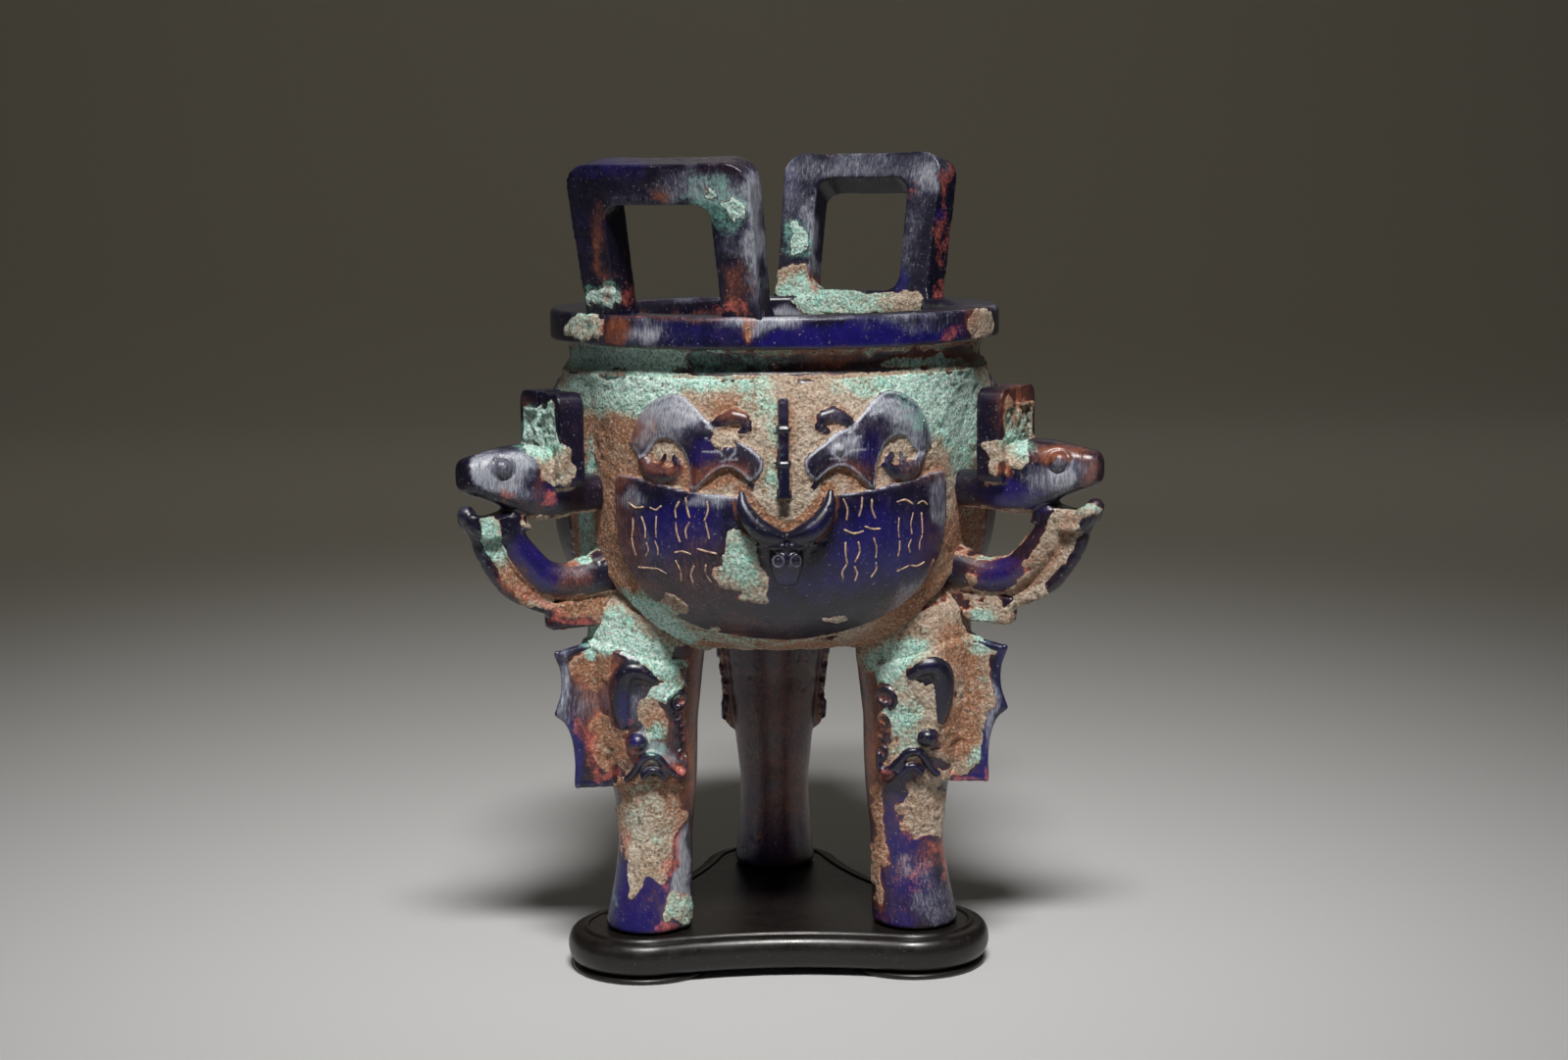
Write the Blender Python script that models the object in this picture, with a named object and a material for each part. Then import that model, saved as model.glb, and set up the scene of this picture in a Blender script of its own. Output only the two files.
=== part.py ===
"""Tripod incense burner of cast cobalt glass on a black three-cornered wooden stand.

Metres, +Z up. The burner is modelled about its own axis, with z = 0 where its feet stand
and its front towards -Y. The legs, the dragon handles and the grooves of the belly share
three azimuths, and the lobes of the belly lie between them. An empty at the end carries
both pieces, so that the middle of the box's base is at the origin.
"""

import math

import bmesh
import bpy
from mathutils import Matrix, Vector

MM = 0.001

# Rim, neck and bowl of the burner
RIM_RADIUS = 63.8 * MM
RIM_DEPTH = 8.9 * MM
MOUTH_RADIUS = 50.0 * MM
NECK_RADIUS = 59.2 * MM
NECK_DEPTH = 7.9 * MM
BELLY_RADIUS = 64.5 * MM  # at the middle of a lobe
BELLY_DEPTH = 79.3 * MM  # from the ledge under the neck to the underside
SHOULDER_DEPTH = 25.8 * MM  # from that ledge down to the widest level
SHOULDER_LEDGE = 1.0 * MM
GROOVE_DEPTH = 6.0 * MM
UNDERSIDE = 78.5 * MM  # height of the belly's underside over the feet
WALL = 7.5 * MM
BOWL_FLOOR = 8.0 * MM

# Ears on the rim: azimuth, height, and height of the opening's sill over the rim
EARS = ((240.0, 42.4 * MM, -0.5 * MM), (60.0, 44.0 * MM, 2.2 * MM))
EAR_BASE_WIDTH = 50.0 * MM
EAR_TOP_WIDTH = 53.0 * MM
EAR_THICKNESS = 10.0 * MM
EAR_OPENING_WIDTH = 30.0 * MM
EAR_TOP_BAR = 7.6 * MM  # on the inner face
EAR_BAR_SLOPE = 3.6 * MM  # how much deeper that bar is on the outer face
EAR_CORNER = 7.0 * MM
EAR_OPENING_CORNER = 4.5 * MM
EAR_LEAN = math.radians(12.0)
EAR_BOW = 160.0 * MM  # radius to which each ear is bent in plan

# Legs
LEG_AZIMUTHS = (210.0, 330.0, 90.0)
LEG_CIRCLE = 44.0 * MM
KNEE = 0.36  # shares of the leg's height: where it is thinnest, and where the bow ends
BOW_END = 0.76
LEG_TOP = 1.05
THIGH_BACKSET = 0.9 * MM
FOOT_RADIUS = 12.6 * MM
FOOT_EDGE = 0.8 * MM
SHIN_RADIUS = 10.6 * MM
THIGH_RADIUS = 16.6 * MM
SHIN_BACKSET = 2.4 * MM  # how far the shin bows in towards the axis
MASK_BOTTOM = 42.5 * MM
MASK_HEIGHT = 41.0 * MM
MASK_RELIEF = 1.8 * MM
MASK_HORN_RELIEF = 3.6 * MM
FIN_REACH = 13.4 * MM  # from the thigh's outer face to the fin's tips
FIN_THICKNESS = 3.2 * MM

# Dragon handles: all carved forms are in hundredths of the reach
HANDLE_LEVEL = 120.0 * MM  # height of the dragon's jaw over the feet
HANDLE_REACH = 41.1 * MM  # from the belly's groove to the nose

# Relief on the lobes
PANEL_RELIEF = 1.3 * MM
DRAGON_RELIEF = 1.5 * MM
DRAGON_EYE_BEDDING = 1.1 * MM
DRAGON_HORN_BEDDING = 3.1 * MM
RIDGE_RELIEF = 4.2 * MM
BULL_RELIEF = 4.4 * MM
BULL_HORN_RELIEF = 3.9 * MM
CHEEK_RELIEF = 2.6 * MM
RELIEF_ROOT = 2.5 * MM  # how deep each relief is bedded in the wall

# Wooden stand
STAND_CLEARANCE = 0.3 * MM
STAND_OFFSET = -1.0 * MM  # along X: the burner doesn't stand quite in the middle
STAND_LOBE_RADIUS = 21.9 * MM
STAND_WAIST = 38.5 * MM  # from the axis to the middle of a concave side
BOARD_THICKNESS = 9.0 * MM
LIP_HEIGHT = 0.8 * MM
LIP_WIDTH = 1.5 * MM
LIP_INSET = 4.4 * MM  # from the board's widest line to the lip's outer face
LIP_SLOPE = 0.4 * MM
EDGE_WIDTH = 2.7 * MM  # of the board's rounded edge, seen from above
PAD_RADIUS = 20.7 * MM
PAD_HEIGHT = 2.4 * MM
PAD_EDGE = 1.6 * MM
PAD_RECESS = 2.2 * MM  # how far the neck over a pad's bead is drawn in

LEDGE = UNDERSIDE + BELLY_DEPTH
WIDEST = LEDGE - SHOULDER_DEPTH
RIM_BOTTOM = LEDGE + NECK_DEPTH
RIM_TOP = RIM_BOTTOM + RIM_DEPTH
GROOVE_RADIUS = BELLY_RADIUS - GROOVE_DEPTH
FRONT = math.radians(270.0)
LOBE_AZIMUTHS = (270.0, 30.0, 150.0)
CARVED = HANDLE_REACH / 100.0
LOBE_UNIT = BELLY_RADIUS / 64.5

BOWL_STEPS = 48
LEG_SIDES = 16
BELLY_FULLNESS = 3.1  # exponents of the belly's curve, below and above its widest level
SHOULDER_FULLNESS = 3.0
CUT_PHASE = 0.37  # keeps the edges of one shape off the edges of what it meets
PLATE_STEP = 10.0  # lobe units between the cuts that let a relief plate bend
RIDGE_STEP = 20.0
DRAGON_STEP = 12.0
BURNER_TRIANGLES = 8400

# The dragon's head in hundredths of the handle's reach: distance from the groove, lowest
# and highest level over the jaw, and half the width there.
HEAD_STATIONS = (
    (-14, 0, 25, 15),
    (19, 0, 26, 16),
    (32, -2, 40, 21),
    (47, -3, 48, 21),
    (62, 3, 48, 19),
    (76, 10, 46, 16),
    (91, 15, 43, 13),
    (98, 18, 41, 11),
    (100, 22, 38, 8),
)
EYE_SPOT = (75, 37, 15)
EYE_SIZE = 6.5
ARC_SPINE = ((66, 2), (64, -14), (54, -29), (41, -41), (24, -46), (4, -44), (-12, -42))
ARC_HALF_WIDTHS = (10, 11, 12, 12, 12, 13, 14)
ARC_HALF_THICKNESS = 12
JAW = ((52, -8), (59, 6), (70, 4), (84, 1), (90, 5), (97, 4), (97, -4), (90, -11), (76, -12))
JAW_HALF_THICKNESS = 11
KNOB = (95, 4)
KNOB_RADIUS = 7.5
CREST_OUTER = ((97, 0), (90, -13), (86, -25), (77, -40), (66, -52), (46, -62), (38, -64))
CREST_INNER = ((30, -48), (48, -36), (60, -24), (72, -6))
CREST_NOTCHES = 4
CREST_NOTCH = 1.6
CREST_HALF_THICKNESS = 5
LUG = ((-12, -77), (38, -77), (38, -60), (-12, -58))
LUG_HALF_THICKNESS = 7.5
HORN_PLATE = ((22, 22), (41, 22), (41, 82), (22, 82))
HORN_HALF_SPREAD = 29
HORN_RECESS_DEPTH = 4
HORN_RECESS = ((-22, 41), (22, 41), (22, 72), (-22, 72))
HORN_NOTCH = ((-3.5, 68), (3.5, 68), (3.5, 90), (-3.5, 90))

# The mask on each leg: azimuth from the fin in degrees, and share of the mask's height.
MASK_EDGE = (
    (0, 1.0), (32, 0.98), (60, 0.90), (92, 0.84), (102, 0.76), (101, 0.10), (92, 0.0),
    (80, 0.04), (66, 0.12), (54, 0.10), (40, -0.01), (0, -0.02),
)
MASK_HORN = (
    (26, 0.50), (23, 0.64), (24, 0.82), (31, 0.90), (46, 0.88),
    (66, 0.76), (54, 0.74), (47, 0.68), (48, 0.54), (37, 0.47),
)
MASK_EYE = (47, 0.34)
MASK_EYE_SIZE = (3.3 * MM, 2.7 * MM)
MASK_MOUTH = ((98, 0.13), (88, 0.07), (77, 0.12), (68, 0.20), (58, 0.22), (46, 0.16), (34, 0.06))
MASK_MOUTH_RADIUS = 1.3 * MM
MASK_CURLS = ((99, 0.62, 0.071), (100, 0.45, 0.054), (100, 0.33, 0.049), (100, 0.18, 0.063))

# Fin outline: share of the fin's reach, share of the mask's height.
FIN_EDGE = (
    (-0.7, 1.0), (0.14, 1.0), (0.86, 0.94), (0.72, 0.80), (0.73, 0.66), (0.87, 0.53),
    (0.60, 0.44), (0.45, 0.30), (0.42, 0.14), (0.45, 0.02), (-0.2, -0.02), (-0.7, -0.02),
)

# Relief on a lobe, in lobe units: distance along the belly from the lobe's middle, and
# height over the belly's widest level. Each is mirrored about the lobe's middle.
SHIELD_EDGE = (
    (0, -5), (15, -4.2), (30, -2.6), (50.5, -0.2), (53, -8), (53, -18), (49.5, -27),
    (42, -35.5), (30, -41), (15, -44), (0, -45),
)
DRAGON_BODY = (
    (44, 10), (41.5, 15), (37, 18.6), (31, 20.2), (25.5, 18.4), (20.8, 15.2), (17.6, 12),
    (18, 9.5), (15, 5.8), (5.6, 5.4), (5.4, 1.6), (9, -1.5), (11, 1.2), (15.2, 3.4),
    (19.6, 1.6), (23.4, -1.8), (24.6, 4.4), (27.2, 8), (31, 9.8), (35, 9.2), (38, 7.4),
)
DRAGON_TAIL = (
    (42, 6.5), (38, 8.6), (33, 7.4), (31.6, 3.2), (28, 1.6), (27, -1.8), (30.4, -1.0),
    (34, -2.2), (38, -1.0), (41.4, 1.8),
)
DRAGON_JAW = ((23, -2), (19.4, 1.6), (15.2, 3.4), (11, 1), (8, -2.4))
DRAGON_JAW_RADIUS = 0.9
DRAGON_EYE = (14.2, 8.2)
DRAGON_EYE_RADIUS = 1.7
DRAGON_HORN = (12.6, 16.6)
DRAGON_HORN_RADIUS = 3.6
RIDGE_EDGE = (
    (2.4, -5.2), (1.5, -2.6), (1.4, 3), (2.3, 3.6), (1.4, 5), (1.4, 11.6), (2.2, 12.4),
    (1.4, 13.8), (1.5, 18), (1.8, 18.6), (1.8, 21),
)
BULL_HORN = (
    (0.4, -12.4), (2, -11.4), (4.6, -10.3), (7.2, -8.4), (9.2, -6.4), (10.4, -4.5),
    (11.2, -7), (10.6, -9.6), (8.8, -12.2), (5.8, -14.3), (2.6, -15.2), (0.4, -14.7),
)
BULL_CHEEK = ((0, -10), (10.6, -8), (9.5, -14.2), (7, -18), (4.8, -20.8), (3.4, -25), (0, -26.8))
BULL_HEAD = ((0, -14.4), (2.6, -15), (3.9, -18.4), (4.1, -21.4), (3.4, -25), (1.8, -26.9), (0, -27.4))
BULL_EYE = (2.1, -20.5)
BULL_EYE_RADIUS = 1.5
BULL_EAR = (5.7, -17.1)
BULL_EAR_RADIUS = 1.4


def belly_swell(z, widest, bottom, at_ledge):
    """Radius of the lobed belly at a lobe's middle, or of its inside, at height z."""
    if z < WIDEST:
        drop = min((WIDEST - z) / (WIDEST - bottom), 1.0)
        return widest * (1.0 - drop**BELLY_FULLNESS) ** (1.0 / BELLY_FULLNESS)
    rise = min((z - WIDEST) / SHOULDER_DEPTH, 1.0)
    lost = 1.0 - (at_ledge / widest) ** SHOULDER_FULLNESS
    return widest * (1.0 - lost * rise**SHOULDER_FULLNESS) ** (1.0 / SHOULDER_FULLNESS)


def groove(azimuth, z, radius):
    """How far the belly is drawn in: nothing at a lobe's middle and most over a leg."""
    if z >= LEDGE:
        return 0.0
    dip = 1.0 - abs(math.cos(1.5 * (azimuth - FRONT)))
    rise = max(0.0, (z - WIDEST) / SHOULDER_DEPTH)
    return GROOVE_DEPTH * dip * (radius / BELLY_RADIUS) * (1.0 - rise**4)


def belly_radius(azimuth, z):
    radius = belly_swell(z, BELLY_RADIUS, UNDERSIDE, NECK_RADIUS + SHOULDER_LEDGE)
    return radius - groove(azimuth, z, radius)


def around(azimuth, radius, z):
    return Vector((radius * math.cos(azimuth), radius * math.sin(azimuth), z))


def on_belly(azimuth, along, z, out):
    """The point a distance along the belly from an azimuth, at height z, and this far out."""
    turned = azimuth + along / BELLY_RADIUS
    step = 0.5 * MM
    slope = (belly_radius(turned, z + step) - belly_radius(turned, z - step)) / (2 * step)
    outward = Vector((math.cos(turned), math.sin(turned), -slope)).normalized()
    return around(turned, belly_radius(turned, z), z) + outward * out


def leg_section(z):
    """Distance of the leg's middle from the burner's axis, and the leg's radius, at height z."""
    share = z / UNDERSIDE
    bent = min(share / BOW_END, 1.0)
    middle = LEG_CIRCLE - SHIN_BACKSET * math.sin(math.pi * bent) - THIGH_BACKSET * bent
    if share < KNEE:
        return middle, SHIN_RADIUS + (FOOT_RADIUS - SHIN_RADIUS) * (1.0 - share / KNEE) ** 2
    swell = min((share - KNEE) / (LEG_TOP - KNEE), 1.0)
    return middle, SHIN_RADIUS + (THIGH_RADIUS - SHIN_RADIUS) * swell


def on_leg(degrees, z, out):
    """A point on a leg that points along +X, by its azimuth from the fin."""
    middle, radius = leg_section(z)
    turned = math.radians(degrees)
    return Vector((middle, 0, 0)) + around(turned, radius + out, z)


def carved(across, up, side=0.0):
    """A point of a handle that points along +X, from hundredths of its reach."""
    return Vector((GROOVE_RADIUS + across * CARVED, side * CARVED, HANDLE_LEVEL + up * CARVED))


def mirrored_outline(half):
    """The whole outline from its right half, which starts and ends on the middle line."""
    return list(half) + [(-x, y) for x, y in reversed(half) if x > 0]


def smooth_line(points, steps):
    """A Catmull-Rom curve through the points, with this many steps from one to the next."""
    spots = [Vector(p) for p in points]
    spots = [spots[0] * 2 - spots[1]] + spots + [spots[-1] * 2 - spots[-2]]
    line = []
    for a, b, c, d in zip(spots, spots[1:], spots[2:], spots[3:]):
        for k in range(steps):
            t = k / steps
            line.append(
                0.5 * (2 * b + (c - a) * t + (2 * a - 5 * b + 4 * c - d) * t**2
                       + (3 * b - a - 3 * c + d) * t**3)
            )
    return line + [spots[-2]]


def arc(centre, radius, start, end, steps):
    """Points on an arc between two azimuths in degrees, both ends included."""
    turns = [math.radians(start + (end - start) * k / steps) for k in range(steps + 1)]
    return [(centre[0] + radius * math.cos(a), centre[1] + radius * math.sin(a)) for a in turns]


def moved(bm, place):
    """The shape with every point put where the function says, its faces turned outwards."""
    for vert in bm.verts:
        vert.co = place(vert.co)
    bm.normal_update()
    bmesh.ops.recalc_face_normals(bm, faces=bm.faces)
    return bm


def closed_up(bm):
    bmesh.ops.remove_doubles(bm, verts=bm.verts, dist=1e-7)
    bmesh.ops.recalc_face_normals(bm, faces=bm.faces)
    return bm


def turned(profile, steps):
    """A solid of revolution about Z from (radius, height) points, on the axis at both ends."""
    bm = bmesh.new()
    verts = [bm.verts.new((radius, 0, z)) for radius, z in profile]
    edges = [bm.edges.new(pair) for pair in zip(verts, verts[1:])]
    bmesh.ops.spin(
        bm, geom=verts + edges, cent=(0, 0, 0), axis=(0, 0, 1),
        angle=math.tau, steps=steps, use_merge=True,
    )
    return closed_up(bm)


def lofted(rings):
    """A closed skin through rings of the same number of points, with both ends filled."""
    bm = bmesh.new()
    loops = []
    for ring in rings:
        verts = [bm.verts.new(point) for point in ring]
        loops.append([bm.edges.new(pair) for pair in zip(verts, verts[1:] + verts[:1])])
    for low, high in zip(loops, loops[1:]):
        bmesh.ops.bridge_loops(bm, edges=low + high)
    for end in (loops[0], loops[-1]):
        bmesh.ops.contextual_create(bm, geom=end)
    return closed_up(bm)


def slab(outline, low, high, cuts=()):
    """A plate with its outline in X and Y, cut across at steps so that it can bend."""
    bm = bmesh.new()
    face = bm.faces.new([bm.verts.new((x, y, low)) for x, y in outline])
    made = bmesh.ops.extrude_face_region(bm, geom=[face])["geom"]
    lifted = [item for item in made if isinstance(item, bmesh.types.BMVert)]
    bmesh.ops.translate(bm, verts=lifted, vec=(0, 0, high - low))
    bmesh.ops.recalc_face_normals(bm, faces=bm.faces)
    for axis, step in cuts:
        normal = Vector((0, 0, 0))
        normal[axis] = 1.0
        reach = [vert.co[axis] for vert in bm.verts]
        first = math.floor(min(reach) / step) + 1
        for k in range(first, math.ceil(max(reach) / step)):
            bmesh.ops.bisect_plane(
                bm, geom=bm.verts[:] + bm.edges[:] + bm.faces[:], dist=1e-6,
                plane_co=normal * (k + CUT_PHASE) * step, plane_no=normal,
            )
    bmesh.ops.triangulate(bm, faces=bm.faces)
    return bm


def ball(centre, radii, steps=8):
    bm = bmesh.new()
    bmesh.ops.create_uvsphere(bm, u_segments=steps, v_segments=steps // 2 + 1, radius=1.0)
    bmesh.ops.scale(bm, vec=radii, verts=bm.verts)
    bmesh.ops.translate(bm, vec=centre, verts=bm.verts)
    return bm


def rope(line, radius, sides=5):
    """A round rod along a line, a little thinner at its ends."""
    rings = []
    for k, point in enumerate(line):
        before = line[max(k - 1, 0)]
        after = line[min(k + 1, len(line) - 1)]
        turn = (after - before).to_track_quat("Z", "Y").to_matrix()
        size = radius * (0.7 if k in (0, len(line) - 1) else 1.0)
        ring = [math.tau * j / sides for j in range(sides)]
        rings.append([point + turn @ Vector((size * math.cos(a), size * math.sin(a), 0)) for a in ring])
    return lofted(rings)


def mesh_object(name, bm):
    mesh = bpy.data.meshes.new(name)
    bm.to_mesh(mesh)
    bm.free()
    obj = bpy.data.objects.new(name, mesh)
    bpy.context.scene.collection.objects.link(obj)
    return obj


def evaluated_mesh(obj):
    graph = bpy.context.evaluated_depsgraph_get()
    return bpy.data.meshes.new_from_object(obj.evaluated_get(graph))


def boolean(base, others, operation):
    """The base joined with, or cut by, the other shapes, as one new bmesh. It uses them up.

    The exact solver leaves open edges where many carved forms cross, so joins use the other.
    """
    body = mesh_object("base", base)
    helpers = [mesh_object("other", other) for other in others]
    for helper in helpers:
        step = body.modifiers.new(operation.lower(), "BOOLEAN")
        step.operation = operation
        step.solver = "MANIFOLD" if operation == "UNION" else "EXACT"
        step.object = helper
    result = bmesh.new()
    result.from_mesh(evaluated_mesh(body))
    for helper in helpers + [body]:
        bpy.data.objects.remove(helper)
    return result


def thinned(bm, triangles):
    """The same shape in about this many triangles, fewest where it is flattest."""
    bmesh.ops.triangulate(bm, faces=bm.faces)
    ratio = triangles / len(bm.faces)
    obj = mesh_object("dense", bm)
    collapse = obj.modifiers.new("collapse", "DECIMATE")
    collapse.ratio = ratio
    collapse.use_collapse_triangulate = True
    result = bmesh.new()
    result.from_mesh(evaluated_mesh(obj))
    bpy.data.objects.remove(obj)
    return result


def copied(bm, degrees):
    """The same shape turned about the burner's axis."""
    twin = bm.copy()
    turn = Matrix.Rotation(math.radians(degrees), 3, "Z")
    bmesh.ops.rotate(twin, cent=(0, 0, 0), matrix=turn, verts=twin.verts)
    return twin


def bowl():
    """Belly, neck and rim in one turned wall, then drawn in at the three grooves."""
    inner_bottom = UNDERSIDE + BOWL_FLOOR
    inner_widest = BELLY_RADIUS - WALL
    outside = [(0.0, UNDERSIDE)]
    inside = [(0.0, inner_bottom)]
    for profile, bottom, widest, at_ledge, steps in (
        (outside, UNDERSIDE, BELLY_RADIUS, NECK_RADIUS + SHOULDER_LEDGE, 8),
        (inside, inner_bottom, inner_widest, MOUTH_RADIUS, 5),
    ):
        for k in range(1, steps + 1):
            z = WIDEST - (WIDEST - bottom) * math.cos(math.pi / 2 * k / steps) ** (2 / BELLY_FULLNESS)
            profile.append((belly_swell(z, widest, bottom, at_ledge), z))
        for rise in (0.5, 0.82, 1.0):
            z = WIDEST + SHOULDER_DEPTH * rise
            profile.append((belly_swell(z, widest, bottom, at_ledge), z))
    brim = [
        (NECK_RADIUS, LEDGE), (NECK_RADIUS, RIM_BOTTOM), (RIM_RADIUS, RIM_BOTTOM),
        (RIM_RADIUS, RIM_TOP), (MOUTH_RADIUS, RIM_TOP),
    ]

    def drawn_in(point):
        radius = math.hypot(point.x, point.y)
        if radius < 1e-6:
            return point
        azimuth = math.atan2(point.y, point.x)
        return around(azimuth, radius - groove(azimuth, point.z, radius), point.z)

    wall = turned(outside + brim + inside[::-1], BOWL_STEPS)
    phase = Matrix.Rotation(math.tau / BOWL_STEPS * CUT_PHASE, 3, "Z")
    bmesh.ops.rotate(wall, cent=(0, 0, 0), matrix=phase, verts=wall.verts)
    return moved(wall, drawn_in)


def ear(height, sill):
    """A square ear that points along +X, leaning out, bowed in plan and open in the middle."""
    root = RIM_DEPTH * 0.6
    half_base = EAR_BASE_WIDTH / 2
    half_top = EAR_TOP_WIDTH / 2
    spread = (half_top - half_base) / height
    outline = [(half_base - spread * root, -root), (half_base, 0.0)]
    outline += arc((half_top - EAR_CORNER, height - EAR_CORNER), EAR_CORNER, 0, 90, 4)
    outline += [(-x, y) for x, y in reversed(outline)]
    half_gap = EAR_OPENING_WIDTH / 2
    gap_top = height - EAR_TOP_BAR
    small = EAR_OPENING_CORNER
    gap = arc((half_gap - small, sill + small), small, -90, 0, 3) if sill > 0 else [(half_gap, sill)]
    gap += arc((half_gap - small, gap_top - small), small, 0, 90, 3)
    gap += [(-x, y) for x, y in reversed(gap)]
    opening = slab(gap, -EAR_THICKNESS, 2 * EAR_THICKNESS)
    for vert in opening.verts:
        share = (vert.co.y - sill) / (gap_top - sill)
        vert.co.y -= share * EAR_BAR_SLOPE * vert.co.z / EAR_THICKNESS
    frame = slab(outline, 0.0, EAR_THICKNESS, ((0, EAR_BASE_WIDTH / 5),))

    def stood(point):
        bend = point.x / EAR_BOW
        out = (EAR_BOW + point.z) * math.cos(bend) - EAR_BOW
        return Vector((
            MOUTH_RADIUS + out * math.cos(EAR_LEAN) + point.y * math.sin(EAR_LEAN),
            (EAR_BOW + point.z) * math.sin(bend),
            RIM_TOP + point.y * math.cos(EAR_LEAN) - out * math.sin(EAR_LEAN),
        ))

    return moved(boolean(frame, [opening], "DIFFERENCE"), stood)


def mid_wall(radius):
    """Height of the middle of the bowl's wall at this radius under a groove of the belly."""
    widest = (BELLY_RADIUS - WALL / 2) * GROOVE_RADIUS / BELLY_RADIUS
    bottom = UNDERSIDE + BOWL_FLOOR / 2
    share = min(radius / widest, 1.0)
    return WIDEST - (WIDEST - bottom) * (1.0 - share**BELLY_FULLNESS) ** (1.0 / BELLY_FULLNESS)


def leg_column():
    """A round leg that points along +X: foot, shin and thigh, closed in the belly's wall."""
    levels = (0.0, 0.012, 0.09, 0.20, KNEE, 0.50, 0.66, 0.86, LEG_TOP)
    turns = [360 * (k + CUT_PHASE) / LEG_SIDES for k in range(LEG_SIDES)]
    rings = [[on_leg(turn, UNDERSIDE * level, 0.0) for turn in turns] for level in levels]
    rings[0] = [on_leg(turn, 0.0, -FOOT_EDGE) for turn in turns]
    for level, inward, share in ((1.17, 0.04, 0.97), (1.24, 0.16, 0.86), (1.30, 0.30, 0.66)):
        middle = Vector((LEG_CIRCLE - inward * THIGH_RADIUS, 0, UNDERSIDE * level))
        rings.append([middle + around(math.radians(turn), THIGH_RADIUS * share, 0.0) for turn in turns])
    for ring in rings:
        for point in ring:
            point.z = min(point.z, mid_wall(math.hypot(point.x, point.y)))
    return lofted(rings)


def on_mask(degrees, share, out):
    return on_leg(degrees, MASK_BOTTOM + MASK_HEIGHT * share, out)


def mask_plate(outline, low, high):
    """A plate bent round the leg, from its outline in degrees and shares of the mask's height."""
    flat = slab(outline, low, high, ((0, 24.0), (1, 0.34)))
    return moved(flat, lambda p: on_mask(p.x, p.y, p.z))


def mask():
    """The animal mask of a leg: plate, horns, eyes, arched mouth and a row of curls."""
    face = mask_plate(mirrored_outline(MASK_EDGE), -RELIEF_ROOT, MASK_RELIEF)
    shapes = []
    for side in (1, -1):
        horn = [(side * x, y) for x, y in MASK_HORN]
        shapes.append(mask_plate(horn, 0.0, MASK_HORN_RELIEF))
        degrees, share = MASK_EYE
        wide, high = MASK_EYE_SIZE
        shapes.append(ball(on_mask(side * degrees, share, MASK_RELIEF), (wide, wide, high)))
        mouth = [on_mask(side * x, y, MASK_RELIEF) for x, y in MASK_MOUTH]
        shapes.append(rope(mouth, MASK_MOUTH_RADIUS))
        for degrees, share, radius in MASK_CURLS:
            spot = on_mask(side * degrees, share, MASK_RELIEF * 0.6)
            shapes.append(ball(spot, (radius * MASK_HEIGHT,) * 3, 6))
    return [face] + shapes


def fin():
    """The scalloped fin in the mask's middle, a plate that stands in the leg's radial plane."""
    outer_face = LEG_CIRCLE + THIGH_RADIUS
    outline = [(outer_face + x * FIN_REACH, MASK_BOTTOM + y * MASK_HEIGHT) for x, y in FIN_EDGE]
    flat = slab(outline, -FIN_THICKNESS / 2, FIN_THICKNESS / 2)
    edge = outer_face + 0.4 * FIN_REACH

    def stood(point):
        thin = 0.5 if point.x > edge else 1.0
        return Vector((point.x, point.z * thin, point.y))

    return moved(flat, stood)


def upright(outline, half_thickness):
    """A plate in the handle's own plane, from hundredths of its reach."""
    flat = slab(outline, -half_thickness, half_thickness)
    return moved(flat, lambda p: carved(p.x, p.y, p.z))


def dragon_head():
    """Neck, head and snout as one skin through rounded sections."""
    sides = 12
    rings = []
    for across, low, high, half_width in HEAD_STATIONS:
        ring = []
        for k in range(sides):
            turn = math.tau * (k + CUT_PHASE) / sides
            wide = math.copysign(abs(math.cos(turn)) ** 0.6, math.cos(turn)) * half_width
            tall = math.copysign(abs(math.sin(turn)) ** 0.6, math.sin(turn)) * (high - low) / 2
            ring.append(carved(across, (high + low) / 2 + tall, wide))
        rings.append(ring)
    return lofted(rings)


def handle_arc():
    """The beard that curves from the jaw back to the belly, oval in section."""
    sides = 8
    line = smooth_line([(x, y, 0) for x, y in ARC_SPINE], 2)
    widths = smooth_line([(w, 0, 0) for w in ARC_HALF_WIDTHS], 2)
    rings = []
    for k, spot in enumerate(line):
        along = (line[min(k + 1, len(line) - 1)] - line[max(k - 1, 0)]).normalized()
        across = Vector((-along.y, along.x, 0))
        ring = []
        for j in range(sides):
            turn = math.tau * (j + CUT_PHASE) / sides
            point = spot + across * widths[k].x * math.cos(turn)
            ring.append(carved(point.x, point.y, ARC_HALF_THICKNESS * math.sin(turn)))
        rings.append(ring)
    return lofted(rings)


def crest_outline():
    """The crest's outer edge with its notches, then back along the arc."""
    line = smooth_line([(x, y, 0) for x, y in CREST_OUTER], 3)
    outline = []
    spacing = (len(line) - 3) // CREST_NOTCHES
    for k, spot in enumerate(line):
        outline.append((spot.x, spot.y))
        if k % spacing == 1 and 1 < k < len(line) - 2:
            inward = Vector((-1, 0.7, 0)).normalized() * CREST_NOTCH
            outline.append((spot.x + inward.x, spot.y + inward.y))
    return outline + list(CREST_INNER)


def horn_plate():
    """Two broad horns side by side, notched between them and sunk on their outer faces."""
    across, outer = HORN_PLATE[0][0], HORN_PLATE[1][0]
    low, top = HORN_PLATE[0][1], HORN_PLATE[2][1]
    corner = 6
    spread = HORN_HALF_SPREAD
    outline = arc((spread - corner, top - corner), corner, 0, 90, 3)
    outline += [(-x, y) for x, y in reversed(outline)]
    outline += [(-spread, low + corner), (-spread + corner, low), (spread - corner, low), (spread, low + corner)]
    plate = slab(outline, across, outer)
    recess = slab(HORN_RECESS, outer - HORN_RECESS_DEPTH, outer + HORN_RECESS_DEPTH)
    notch = slab(HORN_NOTCH, across - 5, outer + 5)
    cut = boolean(plate, [recess, notch], "DIFFERENCE")
    return moved(cut, lambda p: carved(p.z, p.y, p.x))


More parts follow.
